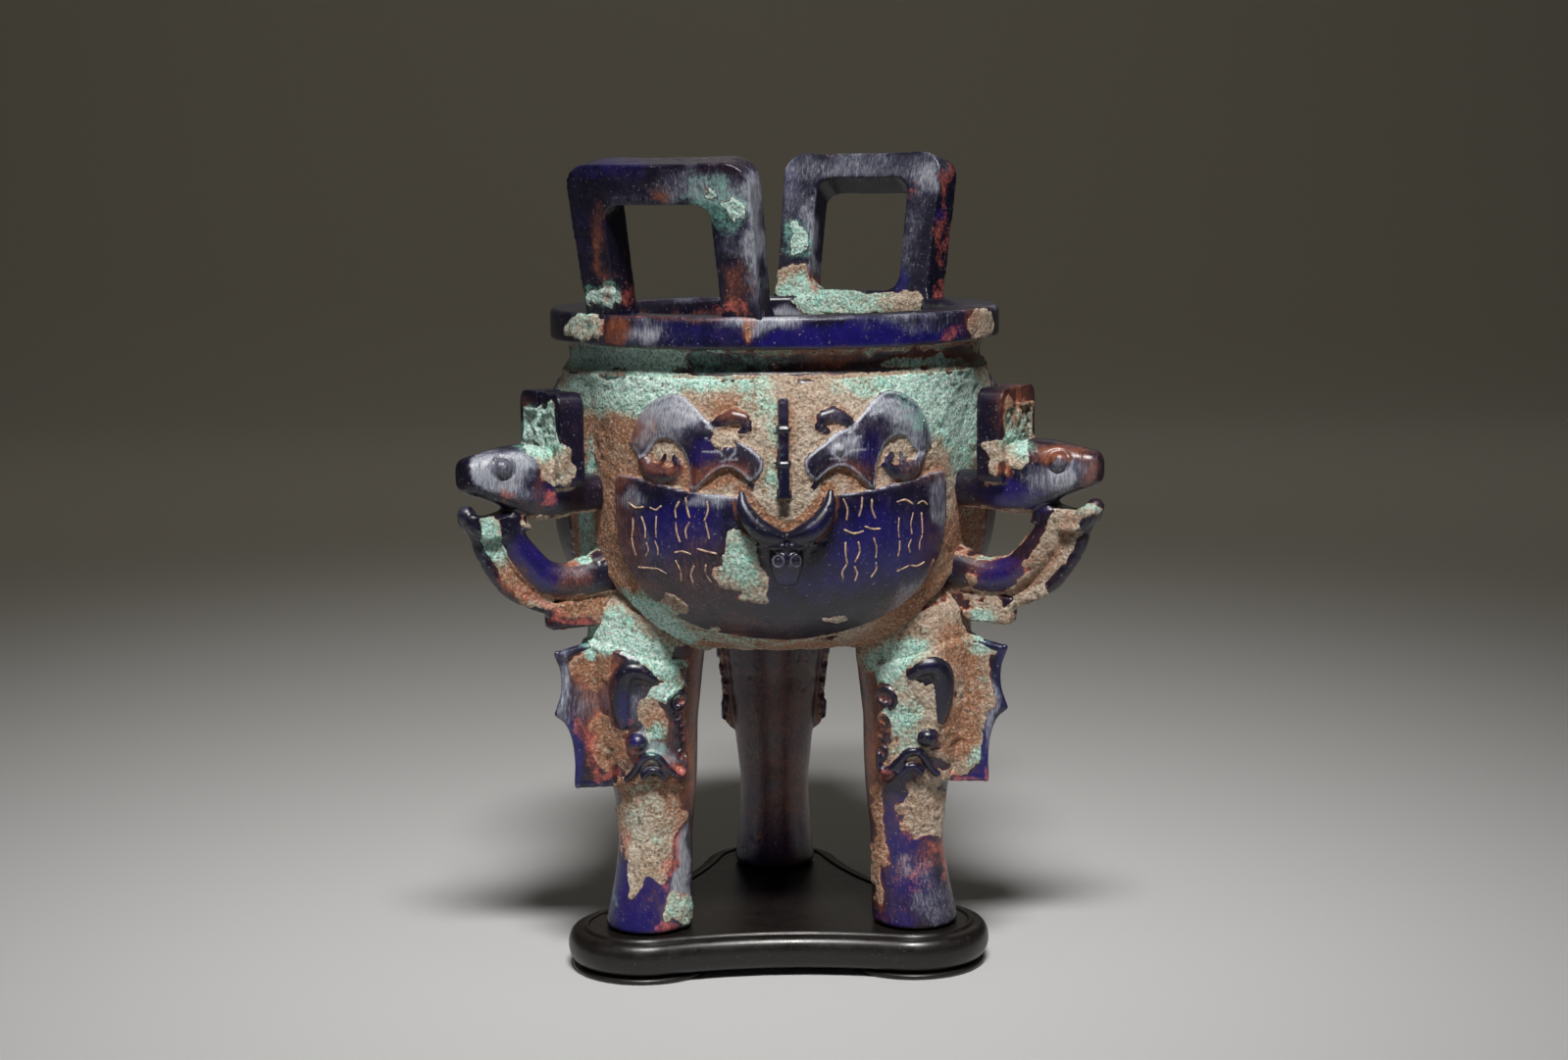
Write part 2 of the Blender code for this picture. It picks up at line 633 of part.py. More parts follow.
def handle():
    """A dragon handle that points along +X."""
    shapes = [
        handle_arc(),
        upright(JAW, JAW_HALF_THICKNESS),
        upright(crest_outline(), CREST_HALF_THICKNESS),
        upright(LUG, LUG_HALF_THICKNESS),
        horn_plate(),
        ball(carved(*KNOB), (KNOB_RADIUS * CARVED,) * 3),
    ]
    for side in (1, -1):
        across, up, half_width = EYE_SPOT
        size = EYE_SIZE * CARVED
        shapes.append(ball(carved(across, up, side * half_width), (size, size * 0.7, size)))
    return boolean(dragon_head(), shapes, "UNION")


def leg():
    """A leg that points along +X, with its mask and fin."""
    return boolean(leg_column(), mask() + [fin()], "UNION")


def on_lobe(lobe, outline, low, high, step=PLATE_STEP):
    """A relief plate bent onto a lobe, from lobe units along it and over its widest level."""
    outline = [(x * LOBE_UNIT, y * LOBE_UNIT) for x, y in outline]
    flat = slab(outline, low, high, ((0, step * LOBE_UNIT), (1, step * LOBE_UNIT)))
    azimuth = math.radians(lobe)
    return moved(flat, lambda p: on_belly(azimuth, p.x, WIDEST + p.y, p.z))


def stud(lobe, spot, radius, out, flatness=1.0):
    """A round boss on a lobe, its centre this far out."""
    radius *= LOBE_UNIT
    place = on_belly(math.radians(lobe), spot[0] * LOBE_UNIT, WIDEST + spot[1] * LOBE_UNIT, out)
    return ball(place, (radius, radius, radius * flatness), 6)


def lobe_relief(lobe):
    """What all three lobes carry: a shield, a notched ridge and two facing dragons."""
    shapes = [
        on_lobe(lobe, mirrored_outline(SHIELD_EDGE), -RELIEF_ROOT, PANEL_RELIEF),
        on_lobe(lobe, list(RIDGE_EDGE) + [(-x, y) for x, y in reversed(RIDGE_EDGE)],
                -RELIEF_ROOT, RIDGE_RELIEF, RIDGE_STEP),
    ]
    for side in (1, -1):
        for outline in (DRAGON_BODY, DRAGON_TAIL):
            flat = [(side * x, y) for x, y in outline]
            shapes.append(on_lobe(lobe, flat, -RELIEF_ROOT, DRAGON_RELIEF, DRAGON_STEP))
    return shapes


def front_relief():
    """The finer forms of the front lobe: dragon eyes, jaws and curls, and the bull's head."""
    lobe = LOBE_AZIMUTHS[0]
    azimuth = math.radians(lobe)
    shapes = [
        on_lobe(lobe, mirrored_outline(BULL_CHEEK), -RELIEF_ROOT, CHEEK_RELIEF),
        on_lobe(lobe, mirrored_outline(BULL_HEAD), -RELIEF_ROOT, BULL_RELIEF),
    ]
    for side in (1, -1):
        jaw = [
            on_belly(azimuth, side * x * LOBE_UNIT, WIDEST + y * LOBE_UNIT, DRAGON_RELIEF)
            for x, y in DRAGON_JAW
        ]
        shapes.append(rope(smooth_line(jaw, 2), DRAGON_JAW_RADIUS * LOBE_UNIT))
        horn = [(side * x, y) for x, y in BULL_HORN]
        shapes.append(on_lobe(lobe, horn, -RELIEF_ROOT, BULL_HORN_RELIEF))
        for spot, radius, out, flatness in (
            (DRAGON_EYE, DRAGON_EYE_RADIUS, DRAGON_RELIEF - DRAGON_EYE_BEDDING, 1.0),
            (DRAGON_HORN, DRAGON_HORN_RADIUS, DRAGON_RELIEF - DRAGON_HORN_BEDDING, 1.0),
            (BULL_EYE, BULL_EYE_RADIUS, BULL_RELIEF, 1.0),
            (BULL_EAR, BULL_EAR_RADIUS, CHEEK_RELIEF, 0.6),
        ):
            shapes.append(stud(lobe, (side * spot[0], spot[1]), radius, out, flatness))
    return shapes


def burner():
    """The whole cast vessel as one solid."""
    shapes = []
    for azimuth, height, sill in EARS:
        shapes.append(copied(ear(height, sill), azimuth))
    one_leg = leg()
    one_handle = handle()
    for azimuth in LEG_AZIMUTHS:
        shapes.append(copied(one_leg, azimuth))
        shapes.append(copied(one_handle, azimuth))
    for lobe in LOBE_AZIMUTHS:
        shapes += lobe_relief(lobe)
    return thinned(boolean(bowl(), shapes + front_relief(), "UNION"), BURNER_TRIANGLES)


def stand_outline(inset):
    """The stand's three round corners and three concave sides, drawn in by inset."""
    to_side = 180 / len(LEG_AZIMUTHS)  # from a corner's azimuth to the middle of the next side
    half_side = LEG_CIRCLE * math.sin(math.radians(to_side))
    rise = STAND_WAIST - LEG_CIRCLE * math.cos(math.radians(to_side))
    hollow = (STAND_LOBE_RADIUS**2 - rise**2 - half_side**2) / (2 * (rise - STAND_LOBE_RADIUS))
    middle = hollow + STAND_WAIST
    outline = []
    for corner in LEG_AZIMUTHS[2], LEG_AZIMUTHS[0], LEG_AZIMUTHS[1]:
        centre = around(math.radians(corner), LEG_CIRCLE, 0)
        side = corner + to_side
        after = around(math.radians(side), middle, 0)
        away = (after - centre).to_2d().angle_signed(centre.to_2d())
        reach = math.degrees(away)
        outline += arc(centre, STAND_LOBE_RADIUS - inset, corner - reach, corner + reach, 9)
        half_sweep = reach - to_side
        start = side + 180 + half_sweep
        outline += arc(after, hollow + inset, start, start - 2 * half_sweep, 6)[1:-1]
    return outline


def bead(turns, top, depth):
    """Inset and height of points on the board's rounded edge, by degrees from its top."""
    points = []
    for turn in turns:
        angle = math.radians(turn)
        points.append((EDGE_WIDTH * (1 - math.sin(angle)), top - depth / 2 * (1 - math.cos(angle))))
    return points


def stand():
    """The board with its bead edge, raised lip and sunk floor, on three low pads."""
    floor = -STAND_CLEARANCE
    base = floor - BOARD_THICKNESS
    lip = [
        (LIP_INSET + LIP_WIDTH + LIP_SLOPE, floor),
        (LIP_INSET + LIP_WIDTH, floor + LIP_HEIGHT * 0.6),
        (LIP_INSET + LIP_WIDTH / 2, floor + LIP_HEIGHT),
        (LIP_INSET, floor + LIP_HEIGHT * 0.6),
        (LIP_INSET - LIP_SLOPE, floor),
    ]
    edge = bead((18, 50, 90, 130, 165), floor, BOARD_THICKNESS)
    under = (edge[-1][0] + PAD_EDGE, base)
    board = lofted([[(x, y, z) for x, y in stand_outline(inset)] for inset, z in [*lip, *edge, under]])
    bottom = base - PAD_HEIGHT
    rim = PAD_RADIUS - PAD_EDGE / 3
    profile = [
        (0.0, bottom), (rim, bottom), (PAD_RADIUS, bottom + PAD_EDGE / 2), (rim, bottom + PAD_EDGE),
        (PAD_RADIUS - PAD_RECESS, bottom + PAD_EDGE), (PAD_RADIUS - PAD_RECESS, base + PAD_EDGE), (0.0, base + PAD_EDGE),
    ]
    pads = []
    for azimuth in LEG_AZIMUTHS:
        pad = turned(profile, 18)
        bmesh.ops.translate(pad, vec=around(math.radians(azimuth), LEG_CIRCLE, 0), verts=pad.verts)
        pads.append(pad)
    whole = boolean(board, pads, "UNION")
    bmesh.ops.translate(whole, vec=(STAND_OFFSET, 0, 0), verts=whole.verts)
    return whole


def principled(name, colour, roughness, metallic=0.0):
    material = bpy.data.materials.new(name)
    material.use_nodes = True
    shader = material.node_tree.nodes["Principled BSDF"]
    shader.inputs["Base Color"].default_value = (*colour, 1.0)
    shader.inputs["Roughness"].default_value = roughness
    shader.inputs["Metallic"].default_value = metallic
    return material


def piece(name, bm, material, parent):
    obj = mesh_object(name, bm)
    obj.data.materials.clear()
    obj.data.materials.append(material)
    obj.data.shade_smooth()
    obj.data.set_sharp_from_angle(angle=math.radians(35))
    obj.parent = parent
    return obj


def main():
    for obj in list(bpy.data.objects):
        bpy.data.objects.remove(obj)
    root = bpy.data.objects.new("incense_burner", None)
    bpy.context.scene.collection.objects.link(root)
    glass = principled("patinated_cobalt_glass", (0.035, 0.045, 0.16), 0.38)
    wood = principled("black_lacquered_wood", (0.012, 0.010, 0.009), 0.32)
    pieces = [
        piece("burner", burner(), glass, root),
        piece("stand", stand(), wood, root),
    ]
    corners = [vert.co for obj in pieces for vert in obj.data.vertices]
    low = [min(corner[axis] for corner in corners) for axis in range(3)]
    high = [max(corner[axis] for corner in corners) for axis in range(3)]
    root.location = (-(low[0] + high[0]) / 2, -(low[1] + high[1]) / 2, -low[2])
    bpy.context.view_layer.update()


main()
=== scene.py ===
"""Looks of a cast cobalt glass tripod burner with burial crust, on a lacquered wooden stand.

Shapes are modelled in millimetres about the burner's own axis, with z = 0 at its feet and
its front towards -Y, and are put in the model's frame when each piece is finished.
"""

import math

import bmesh
import bpy
import numpy as np
from mathutils import Matrix, Vector


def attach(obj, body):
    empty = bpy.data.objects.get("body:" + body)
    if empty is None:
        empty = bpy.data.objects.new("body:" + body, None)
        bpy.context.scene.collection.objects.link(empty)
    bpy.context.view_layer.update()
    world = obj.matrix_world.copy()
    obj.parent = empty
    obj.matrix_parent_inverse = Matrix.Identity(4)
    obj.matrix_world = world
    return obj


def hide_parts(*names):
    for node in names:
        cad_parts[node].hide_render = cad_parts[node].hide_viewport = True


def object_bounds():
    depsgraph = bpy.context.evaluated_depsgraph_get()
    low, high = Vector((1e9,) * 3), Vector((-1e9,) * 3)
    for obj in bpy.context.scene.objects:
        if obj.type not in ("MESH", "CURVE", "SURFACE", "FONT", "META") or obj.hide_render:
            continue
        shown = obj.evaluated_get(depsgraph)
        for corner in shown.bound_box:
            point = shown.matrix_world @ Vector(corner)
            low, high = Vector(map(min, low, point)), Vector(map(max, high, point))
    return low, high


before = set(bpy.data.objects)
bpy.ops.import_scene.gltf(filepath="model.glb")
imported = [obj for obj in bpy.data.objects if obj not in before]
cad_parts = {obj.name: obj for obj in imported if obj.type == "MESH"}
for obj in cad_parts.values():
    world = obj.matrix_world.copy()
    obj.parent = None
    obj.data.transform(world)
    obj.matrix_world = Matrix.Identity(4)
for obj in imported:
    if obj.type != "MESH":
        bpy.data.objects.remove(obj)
cad_box = [list(corner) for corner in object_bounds()]

MM = 0.001
VESSEL = np.array((0.0, -15.0, 11.7))  # the burner's axis at its feet, in the model's millimetres

# The burner's sizes, as in its solids
RIM_RADIUS = 63.8
RIM_DEPTH = 8.9
MOUTH_RADIUS = 50.0
NECK_RADIUS = 59.2
NECK_DEPTH = 7.9
BELLY_RADIUS = 64.5
BELLY_DEPTH = 79.3
SHOULDER_DEPTH = 25.8
SHOULDER_LEDGE = 1.0
GROOVE_DEPTH = 6.0
UNDERSIDE = 78.5
WALL = 7.5
BOWL_FLOOR = 8.0
BELLY_FULLNESS = 3.1
SHOULDER_FULLNESS = 3.0
LEDGE = UNDERSIDE + BELLY_DEPTH
WIDEST = LEDGE - SHOULDER_DEPTH
RIM_BOTTOM = LEDGE + NECK_DEPTH
RIM_TOP = RIM_BOTTOM + RIM_DEPTH
GROOVE_RADIUS = BELLY_RADIUS - GROOVE_DEPTH
FRONT = math.radians(270)
LOBE_AZIMUTHS = (270, 30, 150)

EARS = ((240, 42.4, -0.5), (60, 44.0, 2.2))
EAR_BASE_WIDTH = 50.0
EAR_TOP_WIDTH = 53.0
EAR_THICKNESS = 10.0
EAR_OPENING_WIDTH = 30.0
EAR_TOP_BAR = 7.6
EAR_BAR_SLOPE = 3.6
EAR_CORNER = 7.0
EAR_OPENING_CORNER = 4.5
EAR_LEAN = math.radians(12)
EAR_BOW = 160.0

LEG_AZIMUTHS = (210, 330, 90)
LEG_CIRCLE = 44.0
KNEE = 0.36
BOW_END = 0.76
LEG_TOP = 1.05
THIGH_BACKSET = 0.9
FOOT_RADIUS = 12.6
SHIN_RADIUS = 10.6
THIGH_RADIUS = 16.6
SHIN_BACKSET = 2.4
MASK_BOTTOM = 42.5
MASK_HEIGHT = 41.0
MASK_RELIEF = 1.8
FIN_REACH = 13.4
FIN_THICKNESS = 3.2

HANDLE_LEVEL = 120.0
HANDLE_REACH = 41.1
CARVED = HANDLE_REACH / 100

# Fineness of the visual model: steps around the belly and the rim, and the grain in
# millimetres of the skins that are melted from several forms.
BELLY_STEPS = 440
RIM_STEPS = 360
FRONT_GRAIN = 0.45
BACK_GRAIN = 0.56
EAR_GRAIN = 0.55
FINE_GRAIN = 0.28

STAND_CLEARANCE = 0.3
STAND_OFFSET = -1.0
STAND_LOBE_RADIUS = 21.9
STAND_WAIST = 38.5
BOARD_THICKNESS = 9.0
LIP_HEIGHT = 0.8
LIP_WIDTH = 1.5
LIP_INSET = 4.4
EDGE_WIDTH = 2.7
PAD_RADIUS = 20.7
PAD_HEIGHT = 2.4
PAD_EDGE = 1.6
PAD_RECESS = 2.2

# Dragon handle in hundredths of its reach: distance from the groove, lowest and highest
# level over the jaw, half the width.
HEAD_STATIONS = (
    (-16, 0, 25, 15), (2, 0, 25, 15), (19, 0, 26, 16), (32, -2, 38, 20), (47, -3, 47, 20.5),
    (62, 3, 47.5, 19), (76, 10, 45.5, 16.5), (88, 14.5, 43, 13.5), (96, 17.5, 41, 11), (99, 21, 38, 8),
)
HEAD_SQUARENESS = 0.68
EYE_SPOT = (75, 35, 16)
ARC_SPINE = ((66, 2), (64, -14), (54, -29), (41, -41), (24, -46), (4, -44), (-12, -42))
ARC_HALF_WIDTHS = (10, 11, 12, 12, 12.5, 14.5, 19)
JAW = ((52, -8), (59, 6), (70, 4), (84, 1), (90, 5), (97, 4), (97, -4), (90, -11), (76, -12))
KNOB = (95, 4)
PLATE_HOLES = ((-8, 63), (18, 64))
HOLE_DEPTH = 1.5
CREST_OUTER = ((97, 0), (90, -13), (86, -25), (77, -40), (66, -52), (46, -62), (38, -64))
CREST_INNER = ((30, -48), (48, -36), (60, -24), (72, -6))
LUG = ((-12, -77), (38, -77), (38, -60), (-12, -58))

# Mask of a leg: azimuth from the fin in degrees, share of the mask's height, and the radius of
# rods or the size of curls in millimetres.
MASK_EDGE = (
    (0, 1.0), (32, 0.98), (60, 0.90), (92, 0.84), (102, 0.76), (101, 0.10), (92, 0.0),
    (80, 0.04), (68, 0.15), (56, 0.13), (42, 0.0), (20, -0.02), (0, -0.02),
)
MASK_HORN = (
    (35, 0.46, 2.2), (34, 0.56, 3.1), (34, 0.67, 3.5), (37, 0.775, 3.4), (45, 0.835, 3.1),
    (56, 0.825, 2.6), (66, 0.775, 1.8),
)
MASK_EYE = (48, 0.335)
MASK_MOUTH = (
    (98, 0.20, 1.0), (97, 0.12, 1.15), (88, 0.085, 1.2), (77, 0.14, 1.3), (68, 0.22, 1.3),
    (60, 0.24, 1.3), (50, 0.20, 1.25), (40, 0.11, 1.15), (31, 0.06, 1.0),
)
MASK_LIP = ((74, 0.06, 0.9), (66, 0.12, 1.2), (58, 0.13, 1.2), (50, 0.08, 0.9))
MASK_CURLS = ((92, 0.61, 3.3), (96, 0.445, 1.9), (97, 0.34, 1.6), (96, 0.215, 2.0))
CURL_CIRCLE = 15.0  # how far the curls lie from the leg's middle
# The fin's edge in shares of its reach and of the mask's height
FIN_SCALLOPS = (
    ((-0.9, 0.98), (0.14, 1.0), (0.86, 0.94)),
    ((0.86, 0.94), (0.73, 0.83), (0.70, 0.73), (0.74, 0.64), (0.87, 0.53)),
    ((0.87, 0.53), (0.64, 0.46), (0.49, 0.34), (0.43, 0.18), (0.45, 0.02)),
    ((0.45, 0.02), (-0.2, -0.02), (-0.9, -0.02)),
)

# Relief on a lobe: millimetres along the belly from the lobe's middle, and over its widest
# level; mirrored about the lobe's middle.
SHIELD_EDGE = (
    (0, -14.2), (4.0, -13.0), (8.2, -9.6), (10.4, -4.6), (13, -4.2), (16, -4.0), (30, -2.6), (50.5, -0.2),
    (53, -8), (53, -18), (49.5, -27), (42, -35.5), (30, -41), (15, -44), (0, -45),
)
DRAGON_BODY = (
    (45.5, 8), (43.5, 13.5), (39.5, 18), (35, 20.6), (30, 21.6), (25.8, 19.6), (21.4, 15.6), (17.6, 12.6),
    (14.4, 11.6), (11, 9.2), (6.4, 5.8), (6.0, 2.6), (8.2, 0.2), (10.2, 1.8), (13, 3.4), (16, 3.6),
    (19, 2.0), (21.6, -0.6), (24.4, -2.4), (25.2, 3.2), (26.8, 7.2), (29.4, 9.6), (33, 10.6), (36.6, 9.4),
    (39, 6.6), (41.5, 5.2),
)
DRAGON_TAIL = (
    (41.6, 8.2, 1.3), (41.2, 4.4, 2.0), (38.6, 1.4, 2.5), (34.8, 0.4, 2.5), (31, 0.6, 2.0),
    (28.6, 2.6, 1.4), (30.4, 5.0, 1.0),
)
DRAGON_TAIL_SPIKE = ((34.6, 2.2, 1.4), (33.4, 5.8, 0.5))
DRAGON_JAW = (
    (24.4, -2.6, 0.9), (21, 0.4, 1.0), (17.4, 3.0, 1.0), (14.2, 3.9, 1.0), (11, 2.6, 1.0),
    (8.0, -2.0, 0.8),
)
DRAGON_HORN = (
    (19.4, 13.2, 1.2), (16.8, 15.0, 1.9), (13.6, 16.6, 2.2), (10.6, 16.0, 1.9), (9.6, 13.6, 1.4),
    (11.6, 12.4, 1.0),
)
DRAGON_EYE = (14.4, 7.6)
RIDGE_EDGE = (
    (1.75, -4.6), (1.3, -2.6), (1.15, 3.4), (1.75, 4.4), (1.15, 5.4), (1.15, 12.0), (1.75, 13.0),
    (1.15, 14.0), (1.25, 19.6), (0.9, 20.6),
)
RIDGE_HEIGHT = 4.0
RIDGE_FOOT = 2.6
# Bull's head, about a line beside the lobe's middle: horns as millimetres along, over, out and
# radius, brow and muzzle as along, over and radius.
BULL_SHIFT = 0.5
BULL_HORN = (
    (0.6, -14.5, 2.8, 1.6), (2.4, -14.4, 3.2, 2.4), (4.9, -13.6, 3.7, 2.95), (7.4, -11.8, 3.7, 2.95),
    (9.6, -9.0, 3.5, 2.5), (10.9, -6.2, 3.1, 1.85), (11.3, -3.4, 2.6, 1.0),
)
BULL_CHEEK = (
    (0, -14), (8.6, -13.2), (7.6, -16.4), (6.2, -19), (4.8, -22), (3.6, -25.6), (1.6, -27.6), (0, -27.8),
)
DRAGON_WHISKERS = (
    ((17.4, 9.8, 0.34), (20.8, 11.2, 0.26)), ((17.2, 7.6, 0.34), (21.4, 7.4, 0.26)),
    ((16.8, 11.6, 0.34), (20.4, 14.0, 0.26)), ((12.0, 5.4, 0.34), (16.4, 4.8, 0.30)),
    ((24, 16.6, 0.30), (29, 18.2, 0.34), (34, 17.2, 0.30)),
)
BULL_BROW = ((1.0, -16.6, 1.0), (3.0, -17.0, 1.2), (4.8, -16.4, 0.9))
BULL_MUZZLE = ((0, -17.4, 2.6), (0, -19.0, 3.3), (0, -21.6, 3.5), (0, -24.4, 2.8), (0, -26.0, 2.1))
BULL_EYE = (2.2, -20.2)
BULL_EAR = (6.3, -16.6)

# Rows of shallow strokes in the shield, that spell nothing: the middle of each block along
# the belly, its first row, and how far its rows and columns lie apart.
STROKE_BLOCKS = (-39.6, -24.4, 21.2, 38.0)
STROKE_TOP = -8.2
STROKE_ROW = 5.6
STROKE_COLUMN = 3.9
STROKE_ROWS = 4
STROKE_WIDTH = 0.60

# The photograph's camera, about the burner's axis: distance, height, pitch, sideways offset,
# yaw, roll, and focal length in pixels of the whole 1599 x 1081 frame.
IMAGE = (1599, 1081)
VIEW_DISTANCE = 722.1
VIEW_HEIGHT = 210.95
VIEW_PITCH = math.radians(7.984)
VIEW_OFFSET = 2.18
VIEW_YAW = math.radians(2.0)
VIEW_ROLL = -0.0086
VIEW_FOCAL = 2579.0

turn = Matrix.Rotation(-VIEW_YAW, 3, "Z")
view_spot = turn @ Vector((VIEW_OFFSET, -VIEW_DISTANCE, VIEW_HEIGHT))
view_ahead = turn @ Vector((0, math.cos(VIEW_PITCH), -math.sin(VIEW_PITCH)))
level = turn @ Vector((1, 0, 0))
upright_axis = level.cross(view_ahead)
view_right = level * math.cos(VIEW_ROLL) + upright_axis * math.sin(VIEW_ROLL)
view_up = upright_axis * math.cos(VIEW_ROLL) - level * math.sin(VIEW_ROLL)


def seen(points):
    """Where points of the burner lie in the photograph's frame, in its pixels."""
    rel = points - np.array(view_spot)
    depth = rel @ np.array(view_ahead)
    across = IMAGE[0] / 2 + VIEW_FOCAL * (rel @ np.array(view_right)) / depth
    down = IMAGE[1] / 2 - VIEW_FOCAL * (rel @ np.array(view_up)) / depth
    return across, down


def step(low, high, value):
    """0 below low, 1 above high, and smooth between; the other way round when low > high."""
    share = np.clip((value - low) / (high - low), 0.0, 1.0)
    return share * share * (3 - 2 * share)


def lumps(points, size, octaves, seed):
    """Smooth noise between -1 and 1 whose coarsest lumps are this many millimetres apart."""
    total = np.zeros(len(points))
    weight = 1.0
    whole = 0.0
    for octave in range(octaves):
        cell = points / size + (seed + octave) * np.array((17.31, 5.77, 11.93)) + 500.0
        low = np.floor(cell).astype(np.int64)
        part = cell - low
        part = part * part * (3 - 2 * part)
        for corner in range(8):
            offset = np.array((corner & 1, corner >> 1 & 1, corner >> 2))
            spot = low + offset
            key = spot[:, 0] * 73856093 ^ spot[:, 1] * 19349663 ^ spot[:, 2] * 83492791
            key = (key ^ key >> 13) * 1274126177 & 0xFFFFFFFF
            value = ((key ^ key >> 15) & 0xFFFF) / 32767.5 - 1.0
            total += weight * value * np.prod(np.where(offset, part, 1 - part), axis=1)
        whole += weight
        weight *= 0.5
        size *= 0.5
    return total / whole * 1.4


def belly_swell(z, widest, bottom, at_ledge):
    """Radius of the belly at a lobe's middle, or of its inside, at height z."""
    drop = np.clip((WIDEST - z) / (WIDEST - bottom), 0.0, 1.0)
    rise = np.clip((z - WIDEST) / SHOULDER_DEPTH, 0.0, 1.0)
    lost = 1.0 - (at_ledge / widest) ** SHOULDER_FULLNESS
    below = widest * (1.0 - drop**BELLY_FULLNESS) ** (1.0 / BELLY_FULLNESS)
    above = widest * (1.0 - lost * rise**SHOULDER_FULLNESS) ** (1.0 / SHOULDER_FULLNESS)
    return np.where(z < WIDEST, below, above)


def groove(azimuth, z, radius):
    """How far the belly is drawn in: nothing at a lobe's middle and most over a leg."""
    dip = 1.0 - np.abs(np.cos(1.5 * (azimuth - FRONT)))
    rise = np.clip((z - WIDEST) / SHOULDER_DEPTH, 0.0, 1.0)
    return np.where(z < LEDGE, GROOVE_DEPTH * dip * (radius / BELLY_RADIUS) * (1.0 - rise**4), 0.0)


def belly_radius(azimuth, z):
    radius = belly_swell(z, BELLY_RADIUS, UNDERSIDE, NECK_RADIUS + SHOULDER_LEDGE)
    return radius - groove(azimuth, z, radius)


def on_lobe(lobe, along, over, out):
    """The point this far along a lobe from its middle, over its widest level, and out."""
    azimuth = math.radians(lobe) + along / BELLY_RADIUS
    z = WIDEST + over
    slope = belly_radius(azimuth, z + 0.5) - belly_radius(azimuth, z - 0.5)
    outward = Vector((math.cos(azimuth), math.sin(azimuth), -slope)).normalized()
    radius = belly_radius(azimuth, z)
    return Vector((radius * math.cos(azimuth), radius * math.sin(azimuth), z)) + outward * out


def leg_section(z):
    """Distance of the leg's middle from the burner's axis, and the leg's radius, at height z."""
    share = z / UNDERSIDE
    bent = min(share / BOW_END, 1.0)
    middle = LEG_CIRCLE - SHIN_BACKSET * math.sin(math.pi * bent) - THIGH_BACKSET * bent
    if share < KNEE:
        return middle, SHIN_RADIUS + (FOOT_RADIUS - SHIN_RADIUS) * (1.0 - share / KNEE) ** 2
    swell = min((share - KNEE) / (LEG_TOP - KNEE), 1.0)
    return middle, SHIN_RADIUS + (THIGH_RADIUS - SHIN_RADIUS) * swell


def on_leg(degrees, z, out):
    """A point on a leg that points along +X, by its azimuth from the fin."""
    middle, radius = leg_section(z)
    azimuth = math.radians(degrees)
    return Vector((middle + (radius + out) * math.cos(azimuth), (radius + out) * math.sin(azimuth), z))


def on_mask(degrees, share, out):
    return on_leg(degrees, MASK_BOTTOM + MASK_HEIGHT * share, out)


def mid_wall(radius):
    """Height of the middle of the bowl's wall at this radius under a groove of the belly."""
    widest = (BELLY_RADIUS - WALL / 2) * GROOVE_RADIUS / BELLY_RADIUS
    bottom = UNDERSIDE + BOWL_FLOOR / 2
    share = min(radius / widest, 1.0)
    return WIDEST - (WIDEST - bottom) * (1.0 - share**BELLY_FULLNESS) ** (1.0 / BELLY_FULLNESS)


def carved(across, up, side=0.0):
    """A point of a handle that points along +X, from hundredths of its reach."""
    return Vector((GROOVE_RADIUS + across * CARVED, side * CARVED, HANDLE_LEVEL + up * CARVED))


def smooth_line(points, steps):
    """A Catmull-Rom curve through the points, with this many steps from one to the next."""
    spots = [Vector(p) for p in points]
    spots = [spots[0] * 2 - spots[1]] + spots + [spots[-1] * 2 - spots[-2]]
    line = []
    for a, b, c, d in zip(spots, spots[1:], spots[2:], spots[3:]):
        for k in range(steps):
            t = k / steps
            bend = 2 * a - 5 * b + 4 * c - d
            twist = 3 * b - a - 3 * c + d
            line.append(0.5 * (2 * b + (c - a) * t + bend * t**2 + twist * t**3))
    return line + [spots[-2]]


def curve(points, steps):
    """The same curve through points of a plane, as (x, y) pairs."""
    return [(p.x, p.y) for p in smooth_line(points, steps)]


def both_sides(half):
    """A half outline followed by its mirror image; a point on the mirror line comes once."""
    return list(half) + [(-x, y) for x, y in reversed(half) if x > 0]


def polar(radius, degrees, centre=(0.0, 0.0)):
    angle = math.radians(degrees)
    return centre[0] + radius * math.cos(angle), centre[1] + radius * math.sin(angle)


def arc(centre, radius, start, end, steps):
    return [polar(radius, start + (end - start) * k / steps, centre) for k in range(steps + 1)]


def inside_of(outline, x, y):
    """Distance of points to a closed outline, counted positive inside it."""
    nearest = np.full(len(x), 1e9)
    within = np.zeros(len(x), bool)
    for (ax, ay), (bx, by) in zip(outline, outline[1:] + outline[:1]):
        dx, dy = bx - ax, by - ay
        share = np.clip(((x - ax) * dx + (y - ay) * dy) / (dx * dx + dy * dy + 1e-12), 0, 1)
        nearest = np.minimum(nearest, np.hypot(x - ax - share * dx, y - ay - share * dy))
        if ay != by:
            within ^= ((ay > y) != (by > y)) & (x < dx * (y - ay) / dy + ax)
    return np.where(within, nearest, -nearest)


def rounded_ridge(line, x, y, fullness=1.0):
    """Height of a round rod that lies along (x, y, radius) points."""
    height = np.zeros(len(x))
    for (ax, ay, ar), (bx, by, br) in zip(line, line[1:]):
        dx, dy = bx - ax, by - ay
        share = np.clip(((x - ax) * dx + (y - ay) * dy) / (dx * dx + dy * dy + 1e-12), 0, 1)
        away = np.hypot(x - ax - share * dx, y - ay - share * dy)
        radius = ar + (br - ar) * share
        height = np.maximum(height, fullness * np.sqrt(np.maximum(radius**2 - away**2, 0.0)))
    return height


def closed_up(bm):
    bmesh.ops.remove_doubles(bm, verts=bm.verts, dist=1e-4)
    bmesh.ops.recalc_face_normals(bm, faces=bm.faces)
    return bm


